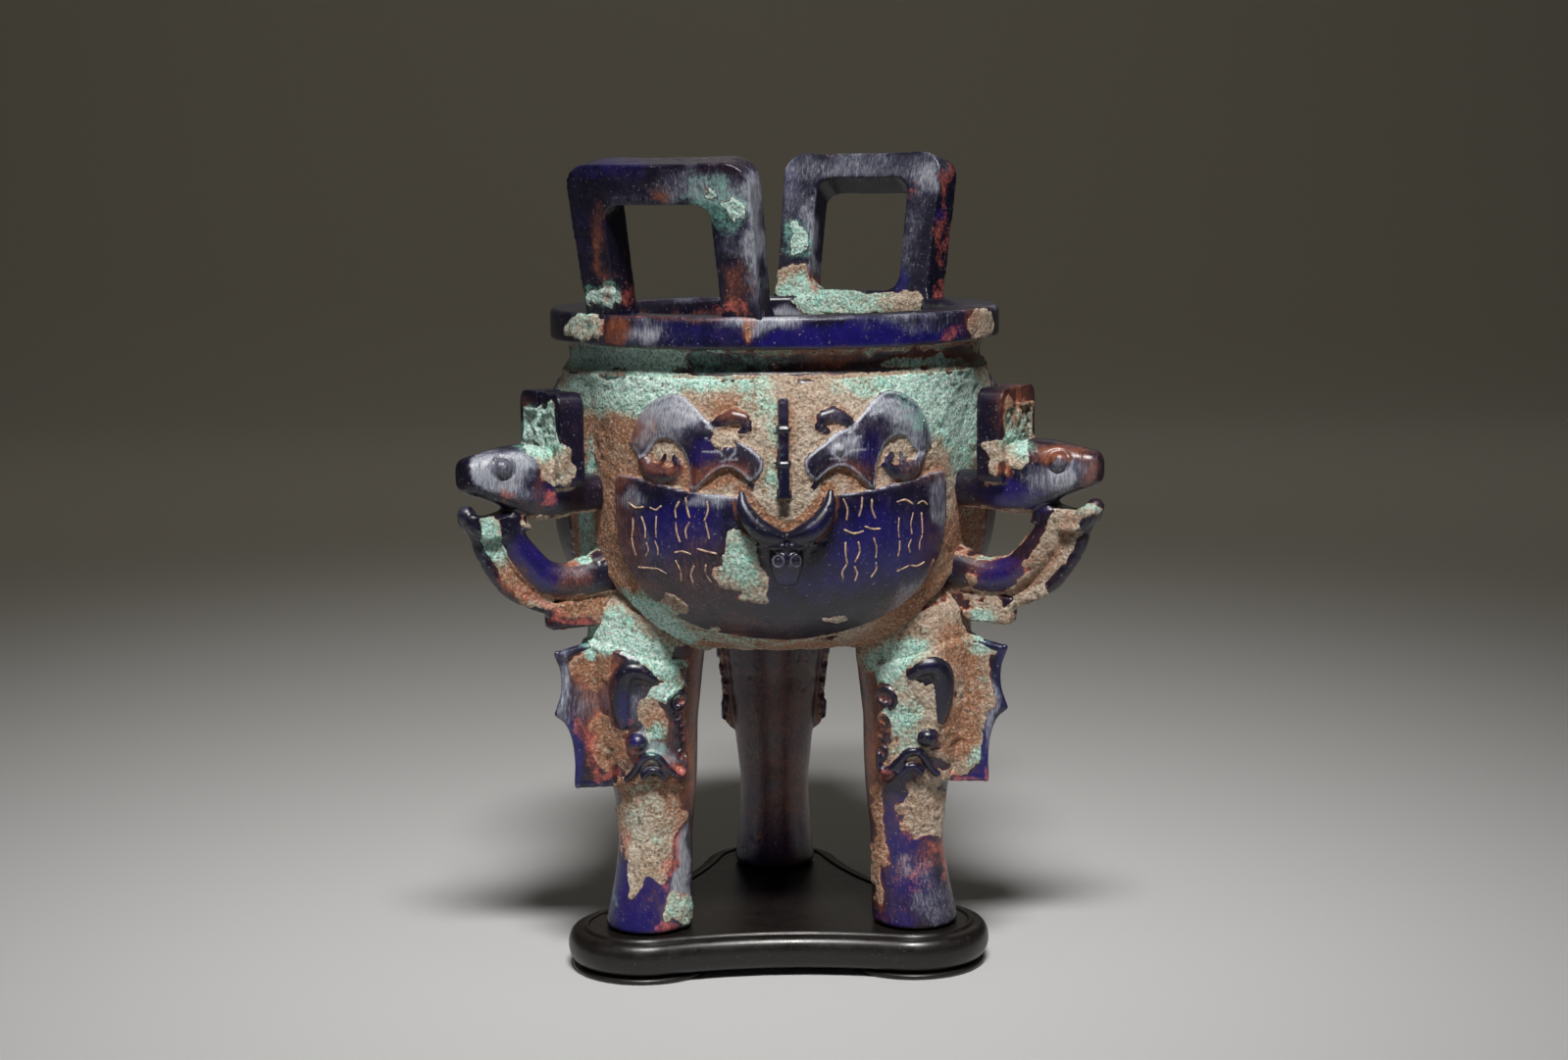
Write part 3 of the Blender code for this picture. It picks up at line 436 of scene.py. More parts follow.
def moved(bm, place):
    for vert in bm.verts:
        vert.co = place(vert.co)
    bm.normal_update()
    bmesh.ops.recalc_face_normals(bm, faces=bm.faces)
    return bm


def turned(profile, steps):
    """A solid of revolution about Z from (radius, height) points."""
    bm = bmesh.new()
    verts = [bm.verts.new((radius, 0, z)) for radius, z in profile]
    edges = [bm.edges.new(pair) for pair in zip(verts, verts[1:])]
    bmesh.ops.spin(
        bm, geom=verts + edges, cent=(0, 0, 0), axis=(0, 0, 1),
        angle=math.tau, steps=steps, use_merge=True,
    )
    return closed_up(bm)


def lofted(rings):
    """A closed skin through rings of the same number of points, with both ends filled."""
    bm = bmesh.new()
    loops = []
    for ring in rings:
        verts = [bm.verts.new(point) for point in ring]
        loops.append([bm.edges.new(pair) for pair in zip(verts, verts[1:] + verts[:1])])
    for low, high in zip(loops, loops[1:]):
        bmesh.ops.bridge_loops(bm, edges=low + high)
    for end in (loops[0], loops[-1]):
        bmesh.ops.contextual_create(bm, geom=end)
    return closed_up(bm)


def rod(line, sides=12):
    """A round rod through (point, radius) pairs, its ends rounded off and its sides untwisted."""
    points = [Vector(p) for p, _ in line]
    radii = [r for _, r in line]
    first = (points[1] - points[0]).normalized()
    last = (points[-1] - points[-2]).normalized()
    cap = ((0.5, 0.87), (0.8, 0.6), (0.97, 0.25))
    line = [(points[0] - first * radii[0] * away, radii[0] * share) for away, share in reversed(cap)]
    line += list(zip(points, radii))
    line += [(points[-1] + last * radii[-1] * away, radii[-1] * share) for away, share in cap]
    angles = [math.tau * j / sides for j in range(sides)]
    aside = first.orthogonal()
    rings = []
    for k, (point, radius) in enumerate(line):
        ahead = (line[min(k + 1, len(line) - 1)][0] - line[max(k - 1, 0)][0]).normalized()
        aside = (aside - ahead * aside.dot(ahead)).normalized()
        other = ahead.cross(aside)
        rings.append([point + (aside * math.cos(a) + other * math.sin(a)) * radius for a in angles])
    return lofted(rings)


def ball(centre, radii, steps=24):
    bm = bmesh.new()
    bmesh.ops.create_uvsphere(bm, u_segments=steps, v_segments=steps // 2, radius=1.0)
    bmesh.ops.scale(bm, vec=radii, verts=bm.verts)
    bmesh.ops.translate(bm, vec=centre, verts=bm.verts)
    return bm


OFF_CORNERS = 0.37  # keeps the cuts across a slab away from its corners


def slab(outline, low, high, cuts=()):
    """A plate with its outline in X and Y, cut across at steps so that it can bend."""
    bm = bmesh.new()
    face = bm.faces.new([bm.verts.new((x, y, low)) for x, y in outline])
    made = bmesh.ops.extrude_face_region(bm, geom=[face])["geom"]
    lifted = [item for item in made if isinstance(item, bmesh.types.BMVert)]
    bmesh.ops.translate(bm, verts=lifted, vec=(0, 0, high - low))
    bmesh.ops.recalc_face_normals(bm, faces=bm.faces)
    for axis, width in cuts:
        normal = Vector((0, 0, 0))
        normal[axis] = 1.0
        reach = [vert.co[axis] for vert in bm.verts]
        for k in range(math.floor(min(reach) / width) + 1, math.ceil(max(reach) / width)):
            bmesh.ops.bisect_plane(
                bm, geom=bm.verts[:] + bm.edges[:] + bm.faces[:], dist=1e-5,
                plane_co=normal * (k + OFF_CORNERS) * width, plane_no=normal,
            )
    bmesh.ops.triangulate(bm, faces=bm.faces)
    return bm


def mesh_of(bm):
    mesh = bpy.data.meshes.new("shape")
    bm.to_mesh(mesh)
    bm.free()
    return mesh


def worked(mesh, *modifiers):
    """The mesh after these modifiers, each given as its type and its settings."""
    obj = bpy.data.objects.new("work", mesh)
    bpy.context.scene.collection.objects.link(obj)
    for kind, settings in modifiers:
        modifier = obj.modifiers.new(kind.lower(), kind)
        for name, value in settings.items():
            setattr(modifier, name, value)
    graph = bpy.context.evaluated_depsgraph_get()
    result = bpy.data.meshes.new_from_object(obj.evaluated_get(graph))
    bpy.data.objects.remove(obj)
    return result


def cut(base, cutters):
    """The base with the cutters taken away."""
    helpers = []
    for cutter in cutters:
        helper = bpy.data.objects.new("cutter", mesh_of(cutter))
        bpy.context.scene.collection.objects.link(helper)
        helpers.append(helper)
    settings = {"operation": "DIFFERENCE", "solver": "EXACT"}
    mesh = worked(mesh_of(base), *[("BOOLEAN", {**settings, "object": helper}) for helper in helpers])
    for helper in helpers:
        bpy.data.objects.remove(helper)
    bm = bmesh.new()
    bm.from_mesh(mesh)
    return bm


def fused(shapes, grain, smoothing=3):
    """Closed forms melted into one skin of this fineness, its edges softened."""
    bm = bmesh.new()
    for shape in shapes:
        bm.from_mesh(mesh_of(shape))
    whole = ("REMESH", {"mode": "VOXEL", "voxel_size": grain, "use_smooth_shade": True})
    soften = ("SMOOTH", {"factor": 0.5, "iterations": smoothing})
    return worked(mesh_of(bm), whole, soften)


def spots_of(mesh):
    co = np.empty(len(mesh.vertices) * 3)
    mesh.vertices.foreach_get("co", co)
    return co.reshape(-1, 3)


def normals_of(mesh):
    normal = np.empty(len(mesh.vertices) * 3)
    mesh.vertex_normals.foreach_get("vector", normal)
    return normal.reshape(-1, 3)


def set_spots(mesh, spots):
    mesh.vertices.foreach_set("co", np.ascontiguousarray(spots).ravel())
    mesh.update()


def spun_to(spots, degrees):
    """Points turned about the burner's axis."""
    c, s = polar(1.0, degrees)
    return spots @ np.array(((c, -s, 0), (s, c, 0), (0, 0, 1))).T


HOLLOW_PASSES = 6
HOLLOW_DEPTH = 0.22  # millimetres that count as wholly hollow


def hollows(mesh, spots, normals):
    """How hollow (positive) or proud (negative) the skin is around each point, -1 to 1."""
    ends = np.empty(len(mesh.edges) * 2, np.int64)
    mesh.edges.foreach_get("vertices", ends)
    a, b = ends.reshape(-1, 2).T
    count = np.bincount(a, minlength=len(spots)) + np.bincount(b, minlength=len(spots))
    count = np.maximum(count, 1)

    def around(values):
        return (np.bincount(a, values[b], len(spots)) + np.bincount(b, values[a], len(spots))) / count

    soft = spots.copy()
    for _ in range(HOLLOW_PASSES):
        for axis in range(3):
            soft[:, axis] = 0.4 * soft[:, axis] + 0.6 * around(soft[:, axis])
    rise = np.einsum("ij,ij->i", soft - spots, normals)
    for _ in range(2):
        rise = around(rise)
    return np.clip(rise / HOLLOW_DEPTH, -1.0, 1.0)


WASHES = ("crust", "turquoise", "earth", "stain", "frost", "cobalt")

# Where the washes lie on the sides that the photograph shows: middle and half sizes in pixels
# of its frame, strength, and turn in degrees where there is one.
DAUBS = {
    "belly": {
        "crust": (
            (752, 558, 17, 17, 1.3), (764, 590, 17, 22, 1.3, 15), (737, 588, 12, 9, 1.0, 20),
            (688, 618, 15, 12, 1.2), (662, 632, 24, 16, 1.2, 25), (853, 631, 16, 5, 1.0),
            (957, 588, 12, 30, 0.9, 22), (925, 628, 34, 11, 0.9, -35), (742, 447, 18, 14, 0.9),
            (712, 655, 60, 14, 0.9, 8), (800, 668, 90, 14, 0.9), (890, 656, 50, 16, 0.9, -14),
            (960, 428, 16, 22, 0.8), (620, 520, 5, 60, 0.35), (612, 560, 6, 50, 0.3),
        ),
        "turquoise": (
            (630, 398, 62, 24, 0.9), (700, 384, 60, 13, 0.7), (775, 400, 26, 40, 0.5),
            (793, 470, 10, 46, 0.5), (895, 392, 60, 14, 0.5), (958, 410, 42, 34, 1.0),
            (984, 455, 16, 60, 0.7), (601, 520, 9, 70, 0.8), (655, 626, 44, 17, 0.9, 18),
            (610, 600, 14, 30, 0.8), (752, 560, 24, 44, 0.65), (760, 648, 60, 9, 0.5),
            (820, 668, 120, 9, 0.5), (830, 440, 24, 36, -0.2), (925, 625, 50, 20, -0.5, -35),
        ),
        "earth": (
            # The first two daubs darken the belly in brown towards its left and right sides.
            (600, 500, 22, 90, 0.5), (1000, 520, 24, 90, 0.55), (800, 665, 130, 12, 0.4),
            (720, 590, 60, 40, 0.25), (960, 560, 26, 40, 0.4, 20), (630, 545, 20, 50, 0.55),
            (610, 470, 12, 60, 0.7), (615, 570, 14, 60, 0.8), (735, 485, 34, 14, 0.7),
            (865, 485, 26, 14, 0.4), (640, 440, 22, 26, 0.6), (665, 480, 40, 10, 0.5),
            (950, 480, 28, 12, 0.3), (985, 560, 12, 50, 0.4), (640, 610, 26, 14, 0.6),
            (800, 660, 110, 7, 0.5), (925, 620, 40, 16, 0.6, -35), (745, 415, 26, 12, 0.5),
            (770, 642, 60, 12, 0.35),
        ),
        "stain": (
            (605, 560, 16, 60, 0.5), (990, 600, 18, 40, 0.4), (850, 668, 60, 5, 0.7),
            (665, 415, 26, 14, 0.35, -30), (720, 496, 50, 4, 0.5, 3), (880, 497, 40, 4, 0.5, -3),
            (620, 430, 14, 22, 0.4), (745, 425, 16, 8, 0.5), (845, 408, 14, 10, 0.3),
            (760, 618, 30, 8, 0.5), (730, 665, 60, 6, 0.4), (630, 600, 12, 24, 0.35),
        ),
        "frost": (
            (840, 620, 60, 30, 0.12, 20), (760, 540, 60, 60, 0.15), (682, 424, 30, 20, 0.9, -20),
            (940, 612, 34, 18, 0.9, -35), (905, 418, 26, 10, 0.7, 20), (720, 510, 30, 8, 0.6),
            (640, 508, 24, 10, 0.5), (930, 440, 20, 24, 0.5), (962, 520, 10, 30, 0.6),
            (860, 455, 16, 14, 0.6), (650, 455, 14, 12, 0.6), (645, 560, 30, 40, 0.25),
        ),
        "cobalt": (
            (700, 540, 46, 36, 0.7), (905, 555, 60, 44, 0.8), (800, 600, 60, 20, 0.5),
            (718, 465, 26, 20, 0.7), (888, 462, 20, 24, 0.7), (650, 565, 30, 44, 0.2),
        ),
    },
    "rim": {
        "crust": (
            (598, 332, 17, 17, 1.5), (1004, 330, 14, 20, 1.4), (760, 333, 5, 13, 0.7),
            (840, 300, 60, 16, 0.9, 4), (925, 306, 22, 10, 1.0), (622, 368, 66, 14, 0.8),
            (950, 372, 50, 6, 0.5),
        ),
        "turquoise": (
            (640, 366, 60, 14, 0.9), (740, 370, 60, 10, 0.7), (840, 300, 60, 16, 0.6),
            (600, 330, 20, 20, 0.15), (940, 368, 50, 10, 0.4), (610, 316, 30, 6, 0.4),
        ),
        "earth": (
            (628, 338, 12, 14, 0.9), (760, 333, 8, 16, 0.9), (995, 330, 18, 18, 0.5),
            (700, 322, 70, 4, 0.5, 2), (965, 368, 50, 9, 0.7), (850, 362, 26, 8, 0.6),
        ),
        "stain": (
            (968, 342, 13, 11, 1.0), (745, 317, 22, 6, 0.9), (860, 372, 40, 4, 0.8),
            (660, 320, 30, 3, 0.7, 2), (985, 316, 30, 5, 0.6, 4), (850, 360, 16, 8, 0.5),
        ),
        "frost": (
            (780, 330, 40, 9, 0.8), (655, 338, 18, 12, 0.5), (640, 345, 60, 8, 0.3),
            (880, 316, 110, 6, 0.5, -2), (930, 330, 60, 8, 0.4), (730, 300, 50, 8, 0.5),
        ),
        "cobalt": (
            (700, 340, 70, 16, 0.5), (880, 342, 90, 16, 0.9), (830, 350, 60, 8, 0.6),
        ),
    },
    "ear_front": {
        "crust": (
            (735, 200, 22, 9, 0.45, 35), (748, 222, 9, 18, 0.45), (618, 305, 17, 10, 1.3),
        ),
        "turquoise": (
            (728, 205, 34, 26, 1.0, 35), (618, 303, 20, 14, 1.0),
        ),
        "earth": (
            (613, 250, 8, 46, 0.6, -6), (678, 195, 10, 6, 0.7), (752, 290, 14, 26, 0.6),
        ),
        "stain": (
            (615, 270, 7, 40, 0.5, -6), (752, 292, 12, 24, 0.7), (750, 314, 18, 8, 0.8),
            (640, 270, 7, 46, 0.6, -10), (640, 188, 12, 10, 0.3), (634, 305, 30, 8, 0.4),
            (774, 260, 7, 50, 0.3),
        ),
        "frost": (
            (720, 190, 40, 16, 0.6, 10), (655, 200, 40, 14, 0.25), (772, 230, 12, 70, 0.9),
            (750, 235, 18, 40, 0.5),
        ),
        "cobalt": (
            (620, 170, 40, 16, 0.5), (600, 240, 10, 50, 0.3),
        ),
    },
    "ear_back": {
        "crust": (
            (812, 243, 6, 14, 1.3, 8), (840, 303, 52, 13, 1.1, 6), (806, 284, 17, 12, 1.2),
            (922, 306, 20, 11, 1.2),
        ),
        "turquoise": (
            (812, 243, 14, 20, 1.0), (850, 303, 70, 18, 0.6, 4),
        ),
        "earth": (
            (815, 285, 24, 12, 0.7), (924, 306, 22, 10, 0.5),
        ),
        "stain": (
            (930, 190, 12, 16, 0.6), (962, 240, 9, 60, 0.8, 3), (965, 175, 10, 14, 0.6),
            (962, 295, 16, 10, 0.75), (829, 290, 7, 10, 0.8), (880, 156, 60, 3, 0.8),
        ),
        "frost": (
            (880, 172, 70, 14, 0.5), (828, 240, 8, 44, 0.7), (928, 240, 16, 44, 0.4),
            (945, 180, 12, 20, 0.6), (808, 210, 12, 40, 0.4),
        ),
        "cobalt": (
            (806, 180, 14, 22, 0.6), (920, 285, 10, 16, 0.8), (962, 215, 7, 10, 0.8),
        ),
    },
    "handle_left": {
        "crust": (
            (552, 440, 20, 40, 1.3), (570, 482, 12, 12, 1.2), (560, 465, 16, 14, 1.0),
            (500, 552, 14, 22, 1.2, -25), (520, 590, 11, 26, 1.1, -38), (552, 617, 24, 8, 1.0, 15),
            (590, 618, 26, 7, 1.1, 5), (540, 534, 16, 8, 0.9), (592, 585, 12, 12, 0.6),
        ),
        "turquoise": (
            (546, 438, 22, 30, 0.9), (500, 552, 15, 26, 0.7, -25), (600, 560, 12, 20, 0.8),
        ),
        "earth": (
            (524, 592, 12, 26, 0.8, -38), (550, 500, 8, 24, 0.5), (585, 590, 20, 16, 0.6),
            (540, 580, 40, 30, 0.15, -40), (592, 617, 26, 8, 0.7), (536, 410, 12, 6, 0.5),
        ),
        "stain": (
            (518, 505, 9, 6, 1.0, -20), (562, 508, 8, 9, 1.1), (531, 516, 5, 8, 0.7, -25),
            (550, 612, 26, 6, 1.0, 22), (590, 632, 28, 6, 1.0), (536, 600, 14, 6, 0.6, 40),
            (558, 478, 4, 7, 0.7), (575, 625, 26, 8, 0.5), (497, 522, 6, 5, 0.4),
        ),
        "frost": (
            (505, 478, 26, 20, 1.0), (535, 470, 16, 16, 0.6), (520, 500, 30, 10, 0.6, 10),
            (535, 545, 14, 8, 0.4, 30), (580, 580, 18, 12, 0.4), (474, 526, 8, 8, 0.4),
            (474, 480, 9, 28, -1.2, -12),
        ),
        "cobalt": (
            (545, 578, 34, 22, 1.1, 40), (560, 500, 30, 16, 0.6), (590, 440, 10, 50, 0.2),
        ),
    },
    "handle_right": {
        "crust": (
            (1036, 424, 20, 28, 1.3), (1030, 460, 28, 10, 1.1, 10), (1014, 478, 7, 9, 1.0),
            (1068, 566, 20, 40, 1.2, 38), (1084, 540, 16, 18, 1.1), (1111, 522, 10, 12, 1.1),
            (1044, 604, 18, 12, 1.0, -20), (1016, 624, 26, 9, 1.2, -5), (992, 590, 12, 16, 0.9),
        ),
        "turquoise": (
            (1040, 452, 20, 8, 0.7), (1004, 570, 14, 14, 0.6), (1000, 626, 14, 10, 0.6),
            (1070, 566, 24, 40, 0.1, 38), (1111, 520, 9, 9, 0.4), (1072, 485, 12, 10, 0.2),
        ),
        "earth": (
            (1034, 416, 22, 24, 0.55), (1080, 462, 26, 8, 0.9, 12), (1060, 566, 14, 36, 0.35, 38),
            (995, 585, 14, 16, 0.5), (1112, 486, 8, 18, 0.6, 20), (1022, 478, 10, 9, 0.5),
        ),
        "stain": (
            (1020, 476, 6, 10, 0.6, 20), (1068, 462, 12, 4, 0.5, 12), (1098, 530, 8, 10, 0.7),
            (1052, 602, 16, 5, 0.6, -25), (1042, 552, 12, 5, 0.5, -40), (1030, 618, 20, 4, 0.4),
        ),
        "frost": (
            (1050, 478, 24, 14, 0.5), (1086, 478, 16, 16, 0.9), (1060, 500, 26, 14, 0.5, -10),
            (1112, 485, 8, 20, 0.5, 15), (1000, 420, 10, 20, 0.15),
        ),
        "cobalt": (
            (1030, 506, 36, 14, 1.1, 8), (1020, 586, 26, 16, 1.1, -30), (1052, 506, 14, 14, 0.4),
        ),
    },
    "leg_left": {
        "crust": (
            (640, 650, 50, 14, 1.2, 28), (606, 652, 16, 14, 1.0, 20), (668, 676, 22, 10, 1.2, 35),
            (600, 682, 17, 17, 1.2), (678, 708, 15, 9, 1.2), (668, 735, 11, 22, 1.0, -30),
            (622, 756, 15, 22, 1.3, -25), (664, 826, 30, 26, 1.5), (662, 862, 20, 22, 1.5),
            (649, 893, 6.5, 22, 1.4, 3), (671, 878, 9, 22, 1.4, -8), (694, 928, 13, 17, 0.9),
            (662, 801, 34, 8, 0.8), (638, 706, 12, 30, -1.5), (648, 756, 10, 8, -1.6),
        ),
        "turquoise": (
            (640, 655, 56, 20, 0.85, 28), (606, 652, 18, 14, 0.9), (676, 706, 14, 9, 1.0),
            (672, 762, 14, 16, 0.7, -30), (694, 928, 14, 20, 0.5), (664, 840, 30, 40, 0.12),
            (626, 890, 4, 50, 0.9),
        ),
        "earth": (
            (602, 684, 20, 18, 0.9), (612, 705, 22, 26, 0.4), (622, 756, 18, 24, 1.0, -25),
            (671, 738, 11, 24, 0.6, -30), (690, 815, 10, 26, 0.7), (640, 812, 12, 16, 0.5),
            # The last daub here, a narrow band down the leg's inner side, is painted shade.
            (664, 802, 34, 8, 0.6), (664, 775, 30, 10, 0.2), (708, 740, 10, 80, 0.8),
            (638, 706, 10, 28, -1.0),
        ),
        "stain": (
            (601, 764, 9, 34, 1.1, -14), (593, 742, 8, 18, 0.4), (625, 788, 9, 8, 1.3),
            (637, 856, 6, 24, 1.1, -8), (688, 862, 8, 34, 0.9, 8), (680, 900, 9, 24, 0.8),
            (676, 946, 9, 7, 1.3), (694, 714, 5, 6, 0.8), (699, 742, 4, 9, 0.3), (698, 762, 4, 8, 0.3),
            (690, 785, 14, 7, 0.8), (648, 768, 9, 6, 0.9), (626, 700, 3, 26, 0.7, 5),
            (662, 690, 20, 3, 0.6, 30), (640, 735, 10, 5, 0.5),
        ),
        "frost": (
            (605, 712, 22, 34, 0.5), (668, 766, 13, 20, 1.0, -35), (697, 870, 8, 60, 0.9),
            (664, 780, 34, 8, 0.6), (655, 722, 12, 18, 0.4), (575, 700, 6, 40, 0.4),
            # The last daub, taking frost off the same band down the leg's inner side, is painted shade too.
            (694, 928, 14, 22, 0.6), (706, 750, 12, 90, -0.5),
        ),
        "cobalt": (
            # The first daub, strong cobalt over the foot, is painted glow of light shining through the
            # glass.
            (652, 918, 32, 42, 1.4), (588, 745, 9, 50, 0.6), (640, 722, 9, 14, 0.5),
            (648, 756, 9, 7, 0.6),
        ),
    },
    "leg_right": {
        "crust": (
            (940, 655, 60, 20, 1.4, -20), (985, 700, 24, 50, 1.3), (935, 735, 34, 34, 1.3),
            (985, 760, 22, 22, 1.1), (945, 826, 24, 25, 1.4), (895, 850, 8, 66, 1.0),
            (1008, 655, 24, 8, 1.1, 15), (955, 692, 24, 10, -1.6), (967, 715, 9, 17, -1.6),
            (950, 755, 11, 9, -1.7), (1004, 790, 14, 12, -1.0), (945, 778, 26, 8, -0.9),
            (903, 712, 12, 14, -1.2), (902, 755, 8, 24, -1.0), (908, 787, 14, 8, -1.2),
            (1014, 730, 6, 60, -0.8),
        ),
        "turquoise": (
            (915, 668, 34, 20, 0.8, -25), (905, 720, 24, 36, 0.5), (1000, 655, 22, 8, 0.6, 10),
            (996, 770, 14, 12, 0.6), (935, 745, 26, 30, 0.3),
        ),
        "earth": (
            (980, 700, 22, 46, 0.6), (975, 750, 20, 20, 0.6), (945, 826, 26, 26, 0.2),
            (895, 850, 8, 66, 0.6), (955, 870, 20, 16, 0.5), (972, 655, 20, 16, 0.4),
            # The first daub here, a narrow band down the leg's inner side, is painted shade.
            (888, 750, 9, 90, 0.7), (960, 700, 22, 24, -0.6),
        ),
        "stain": (
            (902, 712, 5, 7, 0.8), (899, 750, 5, 16, 0.25), (908, 787, 14, 8, 1.0),
            (982, 794, 22, 5, 1.2), (1010, 780, 5, 16, 1.2), (970, 858, 6, 60, 1.1),
            (935, 890, 26, 30, 0.7), (922, 840, 8, 18, 0.7), (960, 862, 14, 8, 0.6),
        ),
        "frost": (
            (952, 920, 22, 26, 0.5), (924, 860, 12, 34, 0.15), (940, 778, 26, 8, 0.5),
            # The last daub, taking frost off the same band down the leg's inner side, is painted shade too.
            (1010, 720, 6, 40, 0.6), (935, 884, 26, 12, 0.4), (888, 760, 10, 100, -0.5),
        ),
        "cobalt": (
            # The second daub, cobalt low over the foot, is painted glow of light shining through the glass.
            (925, 870, 30, 60, 0.9), (905, 940, 20, 14, 1.0), (1002, 745, 8, 34, 0.8),
            (1000, 792, 14, 8, 1.0),
        ),
    },
    "leg_back": {
        "earth": (
            (800, 760, 50, 70, 0.3),
        ),
        "cobalt": (
            (790, 840, 40, 40, 0.4),
        ),
    },
    "handle_back": {},
}

DAUB_WANDER = 9.0  # pixels by which a daub's border strays
DAUB_LUMPS = 6.0  # millimetres between its bays

# How much more crust the masks of the legs carry than their shins
MASK_CRUST = {"leg_left": 0.10, "leg_right": 0.60, "leg_back": 0.45}

# What each piece carries all over before the daubs, in the order of WASHES.
GROUND = {
    "belly": (0.86, 0.14, 0.36, -0.05, 0.12, 0.12),
    "rim": (0.08, 0.25, 0.16, 0.05, 0.16, 0.25),
    "ear_front": (0.08, 0.25, 0.20, 0.08, 0.16, 0.12),
    "ear_back": (0.08, 0.22, 0.18, 0.08, 0.22, 0.15),
    "handle_left": (0.16, 0.25, 0.20, 0.05, 0.18, 0.15),
    "handle_right": (0.20, 0.20, 0.26, 0.05, 0.16, 0.15),
    "handle_back": (0.40, 0.55, 0.25, 0.05, 0.35, 0.30),
    "leg_left": (0.12, 0.22, 0.38, 0.08, 0.22, 0.20),
    "leg_right": (0.12, 0.20, 0.34, 0.08, 0.18, 0.25),
    "leg_back": (0.22, 0.25, 0.55, 0.18, 0.04, 0.60),
}


def patina(region, spots, normals, hollow, raised, coated):
    """The six washes of a piece at each of its points, each from 0 to 1."""
    away = np.array(view_spot) - spots
    away /= np.linalg.norm(away, axis=1)[:, None]
    facing = step(-0.05, 0.25, np.einsum("ij,ij->i", normals, away))
    across, down = seen(spots)
    across = across + DAUB_WANDER * lumps(spots, DAUB_LUMPS, 4, 3)
    down = down + DAUB_WANDER * lumps(spots, DAUB_LUMPS, 4, 4)
    fine = lumps(spots, 3.2, 3, 31)
    fields = {}
    for k, wash in enumerate(WASHES):
        broad = lumps(spots, 22.0, 4, 10 + k)
        field = GROUND[region][k] + 0.36 * broad * (1.0 - 0.4 * facing)
        for x, y, wide, high, amount, *tilt in DAUBS[region].get(wash, ()):
            c, s = polar(1.0, tilt[0] if tilt else 0)
            dx, dy = across - x, down - y
            reach = np.hypot((dx * c + dy * s) / wide, (dy * c - dx * s) / high)
            field = field + amount * facing * step(1.7, 0.35, reach)
        fields[wash] = field
    fields["crust"] += coated - 0.95 * raised
    fields["crust"] += 0.55 * np.clip(hollow, 0, 1) - 0.35 * np.clip(-hollow, 0, 1)
    fields["earth"] += 0.35 * np.clip(hollow, 0, 1) + 0.2 * coated
    fields["frost"] += 0.22 * np.clip(-hollow - 0.3, 0, 1)
    fields["crust"] = step(0.30, 0.80, fields["crust"] + 0.30 * fine)
    for wash in WASHES[1:]:
        fields[wash] = np.clip(fields[wash] + 0.10 * fine, 0, 1)
    return fields


# Millimetres of crust and of what roughens it, of the glass's slow waves and chips, and by
# which the skin starts under the solid's.
CRUST = 0.32
CRUST_CLODS = 0.24
CRUST_SAND = 0.26
CRUST_PITS = 0.36
GLASS_WAVES = 0.11
GLASS_CHIPS = 0.14
SKIN_DROP = 0.15


def crusted(region, mesh, spots, raised=0.0, coated=0.0, grain=1.0, extra=None):
    """Stores the washes on the mesh, and builds up crust and the glass's slow waves."""
    set_spots(mesh, spots)
    normals = normals_of(mesh)
    fields = patina(region, spots, normals, hollows(mesh, spots, normals), raised, coated)
    for wash, more in (extra or {}).items():
        fields[wash] = np.clip(fields[wash] + more, 0, 1)
    for wash in WASHES:
        attribute = mesh.attributes.new(wash, "FLOAT", "POINT")
        attribute.data.foreach_set("value", fields[wash].astype(np.float32))
    crust = fields["crust"]
    sand = lumps(spots, 1.9, 2, 41)
    clods = lumps(spots, 5.5, 2, 42)
    pits = step(0.45, 0.8, lumps(spots, 2.8, 2, 43))
    rough = CRUST_CLODS * clods + grain * (CRUST_SAND * sand - CRUST_PITS * pits)
    built = step(0.3, 0.9, crust) * (CRUST + rough)
    chips = step(0.66, 0.88, lumps(spots, 2.4, 2, 45))
    waves = (1 - crust) * (GLASS_WAVES * lumps(spots, 11.0, 2, 44) - GLASS_CHIPS * chips)
    return spots + normals * (built + waves - SKIN_DROP)[:, None]


def finished(name, mesh, spots, material, node, slot):
    """Puts a piece in the model's frame, inside the solid model's box, and hands it over."""
    placed = (spots + VESSEL) * MM
    placed = np.clip(placed, np.array(cad_box[0]) + 1e-5, np.array(cad_box[1]) - 1e-5)
    set_spots(mesh, placed)
    mesh.materials.clear()
    mesh.materials.append(material)
    mesh.shade_smooth()
    mesh.name = name
    obj = bpy.data.objects.new(name, mesh)
    bpy.context.scene.collection.objects.link(obj)
    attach(obj, "root")
    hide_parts(node)
    return obj


def resampled(profile, spacing):
    """Points along a (radius, height) line, this far apart by the function of where they are."""
    line = np.array(profile, float)
    length = np.concatenate([[0], np.cumsum(np.hypot(*np.diff(line, axis=0).T))])

    def place(at):
        return float(np.interp(at, length, line[:, 0])), float(np.interp(at, length, line[:, 1]))

    at = 0.0
    stops = [at]
    while at < length[-1]:
        at += spacing(*place(at))
        stops.append(min(at, length[-1]))
    return [place(stop) for stop in stops]


def heights_below(bottom, steps):
    """Heights from beside the bowl's bottom to its widest level, closest where it is flattest."""
    power = 2 / BELLY_FULLNESS
    return [WIDEST - (WIDEST - bottom) * math.cos(math.pi / 2 * k / steps) ** power for k in range(1, steps)]


def bowl_line(heights, widest, bottom, at_ledge):
    """The bowl's (radius, height) points at these heights."""
    return [(float(belly_swell(z, widest, bottom, at_ledge)), z) for z in heights]


